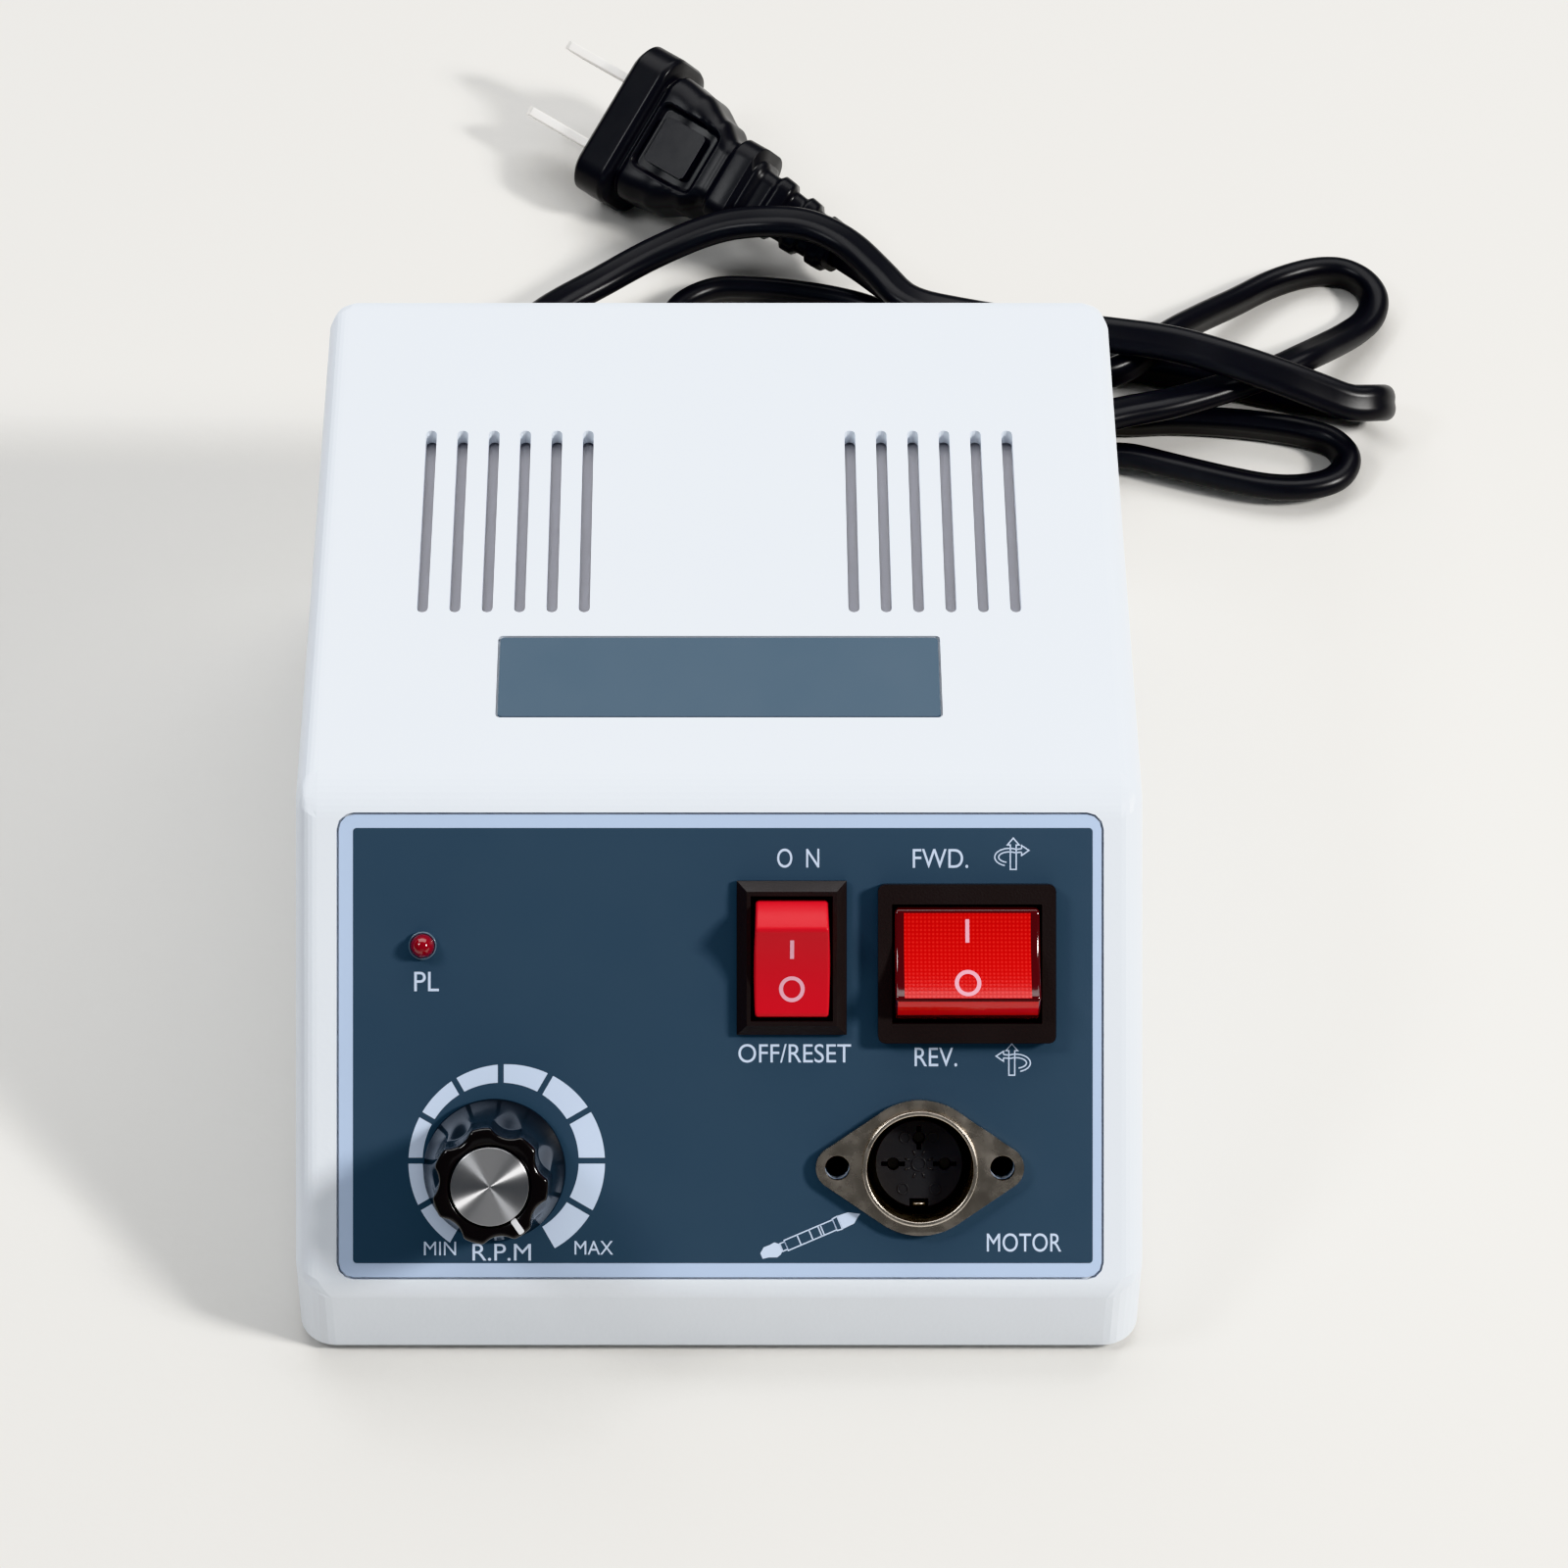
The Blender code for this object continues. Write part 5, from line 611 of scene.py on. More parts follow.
def link(name, data):
    obj = bpy.data.objects.new(name, data)
    bpy.context.scene.collection.objects.link(obj)
    return obj


def dress(name, mesh, material, body, replaced=(), place=None, soft_edge=0.0, soft_steps=3):
    """A finished piece that rides on a body, and stands for the CAD nodes it replaces."""
    if place is not None:
        mesh.transform(place)
    mesh.materials.clear()
    mesh.materials.append(material)
    mesh.polygons.foreach_set("use_smooth", [True] * len(mesh.polygons))
    obj = link(name, mesh)
    if soft_edge:
        bevel = obj.modifiers.new("soft_edges", "BEVEL")
        bevel.width = soft_edge
        bevel.segments = soft_steps
        bevel.limit_method = "ANGLE"
        bevel.angle_limit = SOFT_ANGLE
    weigh = obj.modifiers.new("even_faces", "WEIGHTED_NORMAL")
    weigh.keep_sharp = True
    if replaced:
        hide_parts(*replaced)
    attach(obj, body)
    return obj


def mesh_of(vertices, faces):
    mesh = bpy.data.meshes.new("shape")
    mesh.from_pydata([tuple(vertex) for vertex in vertices], [], faces)
    work = bmesh.new()
    work.from_mesh(mesh)
    bmesh.ops.remove_doubles(work, verts=work.verts, dist=SAME_PLACE)
    bmesh.ops.recalc_face_normals(work, faces=work.faces)
    work.to_mesh(mesh)
    work.free()
    return mesh


def joined(meshes):
    work = bmesh.new()
    for mesh in meshes:
        work.from_mesh(mesh)
        bpy.data.meshes.remove(mesh)
    whole = bpy.data.meshes.new("joined")
    work.to_mesh(whole)
    work.free()
    return whole


def filleted(points, radius, steps=4):
    """An open line with its inner corners rounded, over less than half of the shorter side."""
    line = [Vector((*point, 0)) for point in points]
    result = [line[0]]
    for before, corner, after in zip(line, line[1:], line[2:]):
        back = before - corner
        ahead = after - corner
        turn = back.angle(ahead)
        shorter = min(back.length, ahead.length)
        cut = min(radius / math.tan(turn / 2), shorter * FILLET_SHARE)
        start = corner + back.normalized() * cut
        end = corner + ahead.normalized() * cut
        for step in range(steps + 1):
            share = step / steps
            first = start.lerp(corner, share)
            second = corner.lerp(end, share)
            result.append(first.lerp(second, share))
    result.append(line[-1])
    return [(point.x, point.y) for point in result]


def tube(rings):
    """A closed body through rings of as many points each, with flat ends."""
    size = len(rings[0])
    last = size * (len(rings) - 1)
    faces = []
    for low in range(0, last, size):
        high = low + size
        for corner in range(size):
            after = (corner + 1) % size
            faces.append((low + corner, low + after, high + after, high + corner))
    faces.append(tuple(reversed(range(size))))
    faces.append(tuple(range(last, last + size)))
    return mesh_of([point for ring in rings for point in ring], faces)


def lathe(profile, segments=96):
    """A body turned about Z from (radius, height) points that start and end on the axis or meet."""
    vertices = []
    faces = []
    rings = []
    for radius, height in profile:
        if radius < SAME_PLACE:
            rings.append([len(vertices)])
            vertices.append((0, 0, height))
            continue
        rings.append(list(range(len(vertices), len(vertices) + segments)))
        vertices += [(x, y, height) for x, y in circle(radius, segments=segments)]
    for low, high in zip(rings, rings[1:]):
        for step in range(segments):
            after = (step + 1) % segments
            corners = [low[step % len(low)], low[after % len(low)]]
            corners += [high[after % len(high)], high[step % len(high)]]
            corners = list(dict.fromkeys(corners))
            if len(corners) > 2:
                faces.append(tuple(corners))
    return mesh_of(vertices, faces)


def hoop(inner, outer, low, high, edge, segments):
    """A ring about Z with a square section and rounded edges."""
    profile = [(inner, low), (outer, low), (outer, high), (inner, high), (inner, low)]
    return lathe(filleted(profile, edge), segments)


def flat_shape(outlines, thickness=0.0):
    """A flat area with holes, from closed outlines; with a thickness it is a plate about z = 0."""
    curve = bpy.data.curves.new("outline", "CURVE")
    curve.dimensions = "2D"
    curve.fill_mode = "BOTH"
    curve.extrude = thickness / 2
    for outline in outlines:
        spline = curve.splines.new("POLY")
        spline.points.add(len(outline) - 1)
        for point, (x, y) in zip(spline.points, outline):
            point.co = (x, y, 0, 1)
        spline.use_cyclic_u = True
    mesh = baked(curve)
    if thickness:
        work = bmesh.new()
        work.from_mesh(mesh)
        bmesh.ops.remove_doubles(work, verts=work.verts, dist=WELD)
        work.to_mesh(mesh)
        work.free()
    return mesh


def baked(curve):
    """A curve's or text's surface as a mesh."""
    holder = link("holder", curve)
    bpy.context.view_layer.update()
    graph = bpy.context.evaluated_depsgraph_get()
    mesh = bpy.data.meshes.new_from_object(holder.evaluated_get(graph))
    bpy.data.objects.remove(holder)
    bpy.data.curves.remove(curve)
    return mesh


def arc(radius, start, end, steps, centre=(0, 0)):
    """Points along an arc, both ends among them."""
    points = []
    for step in range(steps + 1):
        turn = start + (end - start) * step / steps
        points.append((centre[0] + radius * math.cos(turn), centre[1] + radius * math.sin(turn)))
    return points


def circle(radius, centre=(0, 0), segments=48):
    return arc(radius, 0, 2 * math.pi, segments, centre)[:-1]


def rounded_box(left, right, low, high, radius, steps=6):
    """Outline of a rectangle with round corners."""
    centres = (
        (right - radius, high - radius),
        (left + radius, high - radius),
        (left + radius, low + radius),
        (right - radius, low + radius),
    )
    points = []
    for quarter, centre in enumerate(centres):
        points += arc(radius, math.pi / 2 * quarter, math.pi / 2 * (quarter + 1), steps, centre)
    return points


def ribbon(points, width, closed=False):
    """A flat stroke of one width along a line."""
    line = [Vector(point) for point in points]
    count = len(line)
    left = []
    right = []
    for index, point in enumerate(line):
        before = line[index - 1] if closed or index else point
        after = line[(index + 1) % count] if closed or index < count - 1 else point
        into = (point - before).normalized() if point != before else (after - point).normalized()
        out = (after - point).normalized() if after != point else into
        across = Vector((-(into + out).y, (into + out).x)).normalized()
        stretch = 1 / max(across.dot(Vector((-into.y, into.x))), SHARPEST_BEND)
        left.append(point + across * width / 2 * stretch)
        right.append(point - across * width / 2 * stretch)
    vertices = [(*point, 0) for point in left + right]
    last = count if closed else count - 1
    faces = [
        (index, (index + 1) % count, count + (index + 1) % count, count + index)
        for index in range(last)
    ]
    return mesh_of(vertices, faces)


def word(words, width, height):
    """Plain lettering as a flat mesh of that width and height, about its middle."""
    curve = bpy.data.curves.new("word", "FONT")
    curve.body = words
    curve.resolution_u = LETTER_STEPS
    mesh = baked(curve)
    xs = [vertex.co.x for vertex in mesh.vertices]
    ys = [vertex.co.y for vertex in mesh.vertices]
    size_x = max(xs) - min(xs)
    size_y = max(ys) - min(ys)
    middle = Matrix.Translation((-(max(xs) + min(xs)) / 2, -(max(ys) + min(ys)) / 2, 0))
    mesh.transform(Matrix.Diagonal((width / size_x, height / size_y, 1, 1)) @ middle)
    return mesh


def at_pixel(x, y):
    """A place on the panel, in its own x and y, from the photograph's pixels."""
    return (x - PANEL_PIXEL[0]) / PIXELS_PER_METRE, -(y - PANEL_PIXEL[1]) / PIXELS_PER_METRE


def on_panel(place, lift=0.0):
    """Axes at a place across and down the panel, lifted off it."""
    return PANEL @ Matrix.Translation((place[0], -place[1], lift))


# Panel print


def panel_holes():
    """What the switches, the socket, the lamp and the shaft need to pass."""
    socket_x, socket_down = SOCKET_PLACE
    holes = [
        circle(SHAFT_HOLE_RADIUS, (KNOB_PLACE[0], -KNOB_PLACE[1])),
        circle(LAMP_HOLE_RADIUS, (LAMP_PLACE[0], -LAMP_PLACE[1])),
        circle(SOCKET_OPENING_RADIUS, (socket_x, -socket_down)),
        rounded_box(*POWER_OPENING, OPENING_CORNER),
        rounded_box(*DIRECTION_OPENING, OPENING_CORNER),
    ]
    for side in (-1, 1):
        holes.append(circle(SOCKET_HOLE_RADIUS, (socket_x + side * SOCKET_EAR_X, -socket_down)))
    return holes


def make_panel_print(field, legend):
    left, right, top, bottom = PRINT_EDGES
    outline = rounded_box(left, right, -bottom, -top, PRINT_CORNER)
    place = PANEL @ Matrix.Translation((0, 0, OVERLAY_TOP + PRINT_STEP))
    dress("panel_print", flat_shape([outline, *panel_holes()]), field, "box", place=place)
    shapes = []
    for words, middle, width, height in PANEL_WORDS:
        mesh = word(words, width / PIXELS_PER_METRE, height / PIXELS_PER_METRE)
        mesh.transform(Matrix.Translation((*at_pixel(*middle), 0)))
        shapes.append(mesh)
    shapes += dial_shapes()
    for middle, flip in TURNING_ICONS:
        shapes += turning_icon(middle, flip)
    shapes += handpiece_icon()
    place = PANEL @ Matrix.Translation((0, 0, OVERLAY_TOP + 2 * PRINT_STEP))
    dress("panel_legends", joined(shapes), legend, "box", place=place)


def dial_reach(turn):
    """How far the outer circle, which sits a little aside, is from the dial's middle."""
    aside = Vector((DIAL_OUTER_PLACE[0] - DIAL_PLACE[0], DIAL_PLACE[1] - DIAL_OUTER_PLACE[1]))
    ahead = aside.dot(Vector((math.cos(turn), math.sin(turn))))
    return ahead + math.sqrt(ahead**2 - aside.length_squared + DIAL_OUTER_RADIUS**2)


def dial_shapes():
    """Ten blocks round the knob, thicker towards the right."""
    shapes = []
    for index in range(DIAL_SEGMENTS):
        start = DIAL_START + index * DIAL_STEP
        points = []
        for outer in (False, True):
            side = []
            for step in range(DIAL_ARC_STEPS + 1):
                share = step / DIAL_ARC_STEPS
                turn = start + DIAL_STEP * share
                radius = dial_reach(turn) if outer else DIAL_RADIUS
                turn += DIAL_GAP / 2 / radius * (1 - 2 * share)
                reach = dial_reach(turn) if outer else DIAL_RADIUS
                x = DIAL_PLACE[0] + reach * math.cos(turn)
                y = reach * math.sin(turn) - DIAL_PLACE[1]
                side.append((x, y))
            points += reversed(side) if outer else side
        shapes.append(flat_shape([points]))
    return shapes


def turning_icon(middle, flip):
    """An arrow up, with another that turns round it."""

    def stroke(line, closed=False):
        places = [at_pixel(middle[0] + flip * x, middle[1] + y) for x, y in line]
        return ribbon(places, ICON_STROKE, closed)

    bends = []
    for reach_x, reach_y, start, sweep in (TURN_OUTER, TURN_INNER):
        bend = []
        for x, y in arc(1, math.radians(start), math.radians(start + sweep), TURN_STEPS):
            bend.append((TURN_MIDDLE[0] + reach_x * x, TURN_MIDDLE[1] + reach_y * y))
        bends.append(bend)
    outer, inner = bends
    return [
        stroke(ARROW_OUTLINE, closed=True),
        stroke([ARROW_HEAD[-1], *outer]),
        stroke([ARROW_HEAD[0], *inner]),
        stroke(ARROW_HEAD),
    ]


def handpiece_icon():
    """A straight handpiece in outline: a nose, a neck, a ringed sleeve, a shoulder and a tail."""
    start, end = (Vector(place) for place in HANDPIECE_ENDS)
    length = end - start
    across = Vector((-length.y, length.x)).normalized()

    def line(points):
        return [at_pixel(*(start + length * share + across * side)) for share, side in points]

    shapes = [flat_shape([line(HANDPIECE_NOSE)]), flat_shape([line(HANDPIECE_TAIL)])]
    for outline in (HANDPIECE_SLEEVE, HANDPIECE_NECK, HANDPIECE_SHOULDER):
        shapes.append(ribbon(line(outline), ICON_STROKE, closed=True))
    for share in HANDPIECE_RINGS:
        ring = ((share, -HANDPIECE_HALF), (share, HANDPIECE_HALF))
        shapes.append(ribbon(line(ring), ICON_STROKE))
    return shapes


# Knob


def knob_frame():
    return on_panel(KNOB_PLACE, SEAT) @ Matrix.Rotation(KNOB_REST_ANGLE, 4, "Z")


def knob_reach(turn, height):
    """The knob's radius: flared at its foot, upright above, with scoops that run out downwards."""
    up = (height - KNOB_LOW) / (KNOB_TOP - KNOB_LOW)
    lobe = KNOB_TOP_RADIUS + (KNOB_SKIRT_RADIUS - KNOB_TOP_RADIUS) * (1 - up) ** KNOB_FLARE
    depth = min(KNOB_SCOOP_DEPTH, (height - KNOB_SCOOP_LOW) * KNOB_SCOOP_SLOPE)
    spacing = 2 * math.pi / KNOB_FLUTES
    aside = (turn % spacing) - spacing / 2
    centre = lobe - depth + KNOB_SCOOP_RADIUS
    inside = max(KNOB_SCOOP_RADIUS**2 - (centre * math.sin(aside)) ** 2, 0.0)
    missed = max(abs(centre * math.sin(aside)) - KNOB_SCOOP_RADIUS, 0.0)
    scoop = centre * math.cos(aside) - math.sqrt(inside) + 2 * missed
    return (lobe + scoop - math.sqrt((lobe - scoop) ** 2 + KNOB_ROUNDING**2)) / 2


def knob_grip():
    """The knob's fluted outside, its rounded upper edge and the seat that its disc lies in."""
    edge_low = KNOB_TOP - KNOB_EDGE
    foot = KNOB_LOW + KNOB_FOOT_EDGE
    turns = [2 * math.pi * step / KNOB_SEGMENTS for step in range(KNOB_SEGMENTS)]
    rings = [[(knob_reach(turn, KNOB_LOW) - KNOB_FOOT_EDGE, KNOB_LOW) for turn in turns]]
    for step in range(KNOB_LEVELS + 1):
        level = foot + (edge_low - foot) * step / KNOB_LEVELS
        rings.append([(knob_reach(turn, level), level) for turn in turns])
    for step in range(1, KNOB_EDGE_STEPS + 1):
        lean = math.pi / 2 * step / KNOB_EDGE_STEPS
        inset = KNOB_EDGE * (1 - math.cos(lean))
        level = edge_low + KNOB_EDGE * math.sin(lean)
        rings.append([(knob_reach(turn, edge_low) - inset, level) for turn in turns])
    rings.append([(KNOB_SEAT_RADIUS + KNOB_SEAT_EDGE, KNOB_TOP)] * KNOB_SEGMENTS)
    rings.append([(KNOB_SEAT_RADIUS, KNOB_TOP - KNOB_SEAT_EDGE)] * KNOB_SEGMENTS)
    rings.append([(KNOB_SEAT_RADIUS, KNOB_TOP - KNOB_SEAT_DEPTH)] * KNOB_SEGMENTS)
    placed = []
    for ring in rings:
        points = []
        for turn, (reach, level) in zip(turns, ring):
            points.append((reach * math.cos(turn), reach * math.sin(turn), level))
        placed.append(points)
    return tube(placed)


def make_knob(glossy, spun, paint):
    place = knob_frame()
    body = "knob_assembly"
    dress("knob_grip", knob_grip(), glossy, body, ["speed_knob"], place)
    disc = [(0, CAP_LOW), (CAP_RADIUS, CAP_LOW), (CAP_RADIUS, CAP_TOP), (0, CAP_TOP)]
    dress("knob_disc", lathe(filleted(disc, CAP_EDGE)), spun, body, ["knob_cap"], place)
    half = POINTER_WIDTH / 2
    bar = flat_shape([rounded_box(*POINTER_SPAN, -half, half, POINTER_CORNER)], POINTER_DEPTH)
    bar.transform(Matrix.Translation((0, 0, KNOB_TOP - POINTER_DEPTH / 2 + PRINT_STEP * 2)))
    dress("knob_mark", bar, paint, body, ["knob_pointer"], place, soft_edge=POINTER_EDGE)


# Lamp


def make_lamp(lens, rim):
    """A red dome in its clear flange."""
    place = on_panel(LAMP_PLACE)
    top = LAMP_RISE + LAMP_RIM
    dome = [(0, -LAMP_DEPTH), (LAMP_RADIUS, -LAMP_DEPTH), (LAMP_RADIUS, LAMP_DOME_LOW)]
    for step in range(1, LAMP_STEPS):
        turn = math.pi / 2 * step / LAMP_STEPS
        height = LAMP_DOME_LOW + (top - LAMP_DOME_LOW) * math.sin(turn)
        dome.append((LAMP_RADIUS * math.cos(turn), height))
    dome.append((0, top))
    dress("lamp_dome", lathe(dome, LAMP_SEGMENTS), lens, "box", ["indicator_led"], place)
    inner = LAMP_RADIUS + LAMP_FIT
    ring = hoop(inner, LAMP_RIM_RADIUS, OVERLAY_TOP, LAMP_RIM_TOP, LAMP_RIM_EDGE, LAMP_SEGMENTS)
    dress("lamp_rim", ring, rim, "box", place=place)


# Socket


def flange_outline():
    """A disc and two ears, with straight tangents between them."""
    lean = math.acos((SOCKET_FLANGE_RADIUS - SOCKET_EAR_RADIUS) / SOCKET_EAR_X)
    right = (SOCKET_EAR_X, 0)
    left = (-SOCKET_EAR_X, 0)
    return [
        *arc(SOCKET_EAR_RADIUS, -lean, lean, EAR_STEPS, right),
        *arc(SOCKET_FLANGE_RADIUS, lean, math.pi - lean, FLANGE_STEPS),
        *arc(SOCKET_EAR_RADIUS, math.pi - lean, math.pi + lean, EAR_STEPS, left),
        *arc(SOCKET_FLANGE_RADIUS, math.pi + lean, 2 * math.pi - lean, FLANGE_STEPS),
    ]


def keyhole(turn):
    """A round contact hole with a slot on each side, laid along the radius."""
    lean = math.asin(KEYHOLE_SLOT / KEYHOLE_RADIUS)
    half = [(KEYHOLE_REACH, -KEYHOLE_SLOT), (KEYHOLE_REACH, KEYHOLE_SLOT)]
    half += arc(KEYHOLE_RADIUS, lean, math.pi - lean, KEYHOLE_STEPS)
    centre = Vector((CONTACT_CIRCLE_RADIUS, 0))
    points = [centre + Vector(point) for point in half]
    points += [centre - Vector(point) for point in half]
    return [tuple(Matrix.Rotation(turn, 2) @ point) for point in points]


def insert_outline():
    """A disc with a keyway at its lower side."""
    half = KEYWAY_WIDTH / 2
    notch = math.asin(half / INSERT_RADIUS)
    outline = arc(INSERT_RADIUS, notch - math.pi / 2, 1.5 * math.pi - notch, INSERT_STEPS)
    depth = KEYWAY_DEPTH - INSERT_RADIUS
    return [*outline, (-half, depth), (half, depth)]


def insert_ring(centre, radius, thickness):
    """A fine raised ring on the insert's face."""
    inner = radius - thickness / 2
    outer = radius + thickness / 2
    height = thickness * RING_HEIGHT_SHARE
    edge = thickness * RING_EDGE_SHARE
    mesh = hoop(inner, outer, -thickness, height, edge, RING_SEGMENTS)
    mesh.transform(Matrix.Translation((*centre, INSERT_FACE)))
    return mesh


def insert_marks():
    """Four rings in a circle, one in the middle, and short ribs round it."""
    marks = []
    for degrees in MARK_RING_DEGREES:
        turn = math.radians(degrees)
        centre = Vector((math.cos(turn), math.sin(turn))) * MARK_CIRCLE_RADIUS
        marks.append(insert_ring(centre, *MARK_RING))
    marks.append(insert_ring((0, 0), *HUB_RING))
    start, end = HUB_RIB_SPAN
    half = HUB_RIB_WIDTH / 2
    rib = ((start, half), (start, -half), (end, -half), (end, half))
    for step in range(HUB_RIBS):
        turn = 2 * math.pi * (step + 0.5) / HUB_RIBS
        mesh = flat_shape([rib], HUB_RIB_HEIGHT)
        mesh.transform(Matrix.Translation((0, 0, INSERT_FACE)) @ Matrix.Rotation(turn, 4, "Z"))
        marks.append(mesh)
    return joined(marks)


def make_socket(nickel, black):
    place = on_panel(SOCKET_PLACE, SEAT)
    holes = [circle(SOCKET_HOLE_RADIUS, (side * SOCKET_EAR_X, 0)) for side in (-1, 1)]
    middle = circle(SOCKET_BORE_RADIUS + SOCKET_FIT, segments=FLANGE_BORE_STEPS)
    plate = flat_shape([flange_outline(), *holes, middle], SOCKET_FLANGE)
    plate.transform(Matrix.Translation((0, 0, SOCKET_FLANGE / 2)))
    dress("socket_plate", plate, nickel, "box", ["socket_flange"], place, SOCKET_EDGE, soft_steps=4)
    low, high = LIP_FOOT_SHARES
    lip = [
        (SOCKET_BORE_RADIUS, -SOCKET_SHELL_DEPTH),
        (SOCKET_SHELL_RADIUS, -SOCKET_SHELL_DEPTH),
        (SOCKET_SHELL_RADIUS, SOCKET_FLANGE * low),
        (SOCKET_LIP_RADIUS, SOCKET_FLANGE * high),
        (SOCKET_LIP_RADIUS, SOCKET_LIP_TOP),
        (SOCKET_BORE_RADIUS, SOCKET_LIP_TOP),
        (SOCKET_BORE_RADIUS, -SOCKET_SHELL_DEPTH),
    ]
    dress("socket_lip", lathe(filleted(lip, LIP_EDGE, 6), LIP_SEGMENTS), nickel, "box", place=place)
    face = flat_shape([insert_outline(), *map(keyhole, CONTACT_ANGLES)], INSERT_DEPTH)
    face.transform(Matrix.Translation((0, 0, INSERT_FACE - INSERT_DEPTH / 2)))
    dress("socket_insert_face", face, black, "box", ["socket_insert"], place, INSERT_EDGE)
    radius = SOCKET_BORE_RADIUS - INSERT_FIT
    low = -SOCKET_SHELL_DEPTH
    high = INSERT_FACE - INSERT_DEPTH
    base = lathe([(0, low), (radius, low), (radius, high), (0, high)])
    dress("socket_insert_base", base, black, "box", place=place)
    dress("socket_insert_marks", insert_marks(), black, "box", place=place)
    spring = flat_shape([rounded_box(*SPRING_SPAN, SPRING_CORNER)], SPRING_DEPTH)
    spring.transform(Matrix.Translation((0, 0, INSERT_FACE - SPRING_DEPTH / 2)))
    dress("socket_key_spring", spring, nickel, "box", place=place)


# Rocker switches


def direction_place():
    """The direction rocker's own axes at rest."""
    return Matrix.Translation(DIRECTION_PIVOT) @ Matrix.Rotation(DIRECTION_TURN, 4, "X")


def rocker_top(radius, y):
    """How high the dished top is between its ridges."""
    ridge_y = radius * math.sin(RIDGE_ANGLE)
    ridge_z = radius * math.cos(RIDGE_ANGLE)
    return ridge_z - ROCKER_SAG * (1 - (y / ridge_y) ** 2)


def rocker_side(radius):
    """Side view about the pivot, as (y, z): two end arcs and a dished top between its ridges."""
    quarter = math.pi / 2
    end = arc(radius, quarter - END_ANGLE, quarter - RIDGE_ANGLE, ROCKER_END_STEPS)
    ridge_y = end[-1][0]
    points = list(end)
    for step in range(1, ROCKER_TOP_STEPS):
        y = ridge_y * (1 - 2 * step / ROCKER_TOP_STEPS)
        points.append((y, rocker_top(radius, y)))
    return points + [(-y, z) for y, z in reversed(end)]


def rocker_mesh(radius, width, bulge, edge):
    """The rocker's body, with sides that bow out and a rounded edge along them."""
    rows = []
    for y, z in rocker_side(radius):
        half = width / 2 - bulge * (y / (radius + ROCKER_BOW_REACH)) ** 2
        row = []
        for step in range(ROCKER_EDGE_STEPS + 1):
            turn = math.pi / 2 * step / ROCKER_EDGE_STEPS
            scale = 1 - edge * (1 - math.sin(turn)) / math.hypot(y, z)
            row.append((edge * (1 - math.cos(turn)) - half, y * scale, z * scale))
        row += [(-x, row_y, row_z) for x, row_y, row_z in reversed(row)]
        rows.append(row)
    size = len(rows[0])
    last = (len(rows) - 1) * size
    faces = []
    for low in range(0, last, size):
        for step in range(low, low + size - 1):
            faces.append((step, step + 1, step + size + 1, step + size))
    faces.append(tuple(range(0, last + size, size)))
    faces.append(tuple(range(last + size - 1, 0, -size)))
    faces.append(tuple(range(size - 1, -1, -1)))
    faces.append(tuple(range(last, last + size)))
    return mesh_of([point for row in rows for point in row], faces)


def curved_mark(outlines, radius):
    """A flat mark laid on the rocker's dished top."""
    mesh = flat_shape(outlines)
    work = bmesh.new()
    work.from_mesh(mesh)
    bmesh.ops.triangulate(work, faces=work.faces)
    bmesh.ops.subdivide_edges(work, edges=work.edges, cuts=MARK_CUTS, use_grid_fill=True)
    for vertex in work.verts:
        vertex.co.z = rocker_top(radius, vertex.co.y) + MARK_LIFT
    work.to_mesh(mesh)
    work.free()
    return mesh


def rocker_marks(radius, bar, ring):
    """The I and the O: bar is its low and high y, ring its middle y, half width and half height."""
    half = MARK_STROKE / 2
    middle, reach_x, reach_y = ring
    outlines = []
    for inset in (0, MARK_STROKE):
        scale_x = reach_x - inset
        scale_y = reach_y - inset
        outlines.append([(x * scale_x, middle + y * scale_y) for x, y in circle(1)])
    bar_mesh = curved_mark([rounded_box(-half, half, *bar, MARK_CORNER)], radius)
    return joined([bar_mesh, curved_mark(outlines, radius)])


def strip(rows, half):
    """A sheet of one width along rows of (y, z)."""
    vertices = []
    for y, z in rows:
        vertices += [(-half, y, z), (half, y, z)]
    faces = [(2 * row, 2 * row + 1, 2 * row + 3, 2 * row + 2) for row in range(len(rows) - 1)]
    return mesh_of(vertices, faces)


def lens_grid_sheet():
    """The lens's dotted patch, across its dished top."""
    low, high = GRID_ENDS
    rows = []
    for step in range(LENS_STEPS + 1):
        y = low + (high - low) * step / LENS_STEPS
        rows.append((y, rocker_top(DIRECTION_RADIUS, y) + LENS_LIFT))
    return strip(rows, GRID_HALF)


def lens_band_sheet():
    """The plain band down the lower end of the lens."""
    low, high = BAND_ANGLES
    quarter = math.pi / 2
    rows = arc(DIRECTION_RADIUS + LENS_LIFT, quarter + high, quarter + low, LENS_STEPS)
    return strip(rows, BAND_HALF)


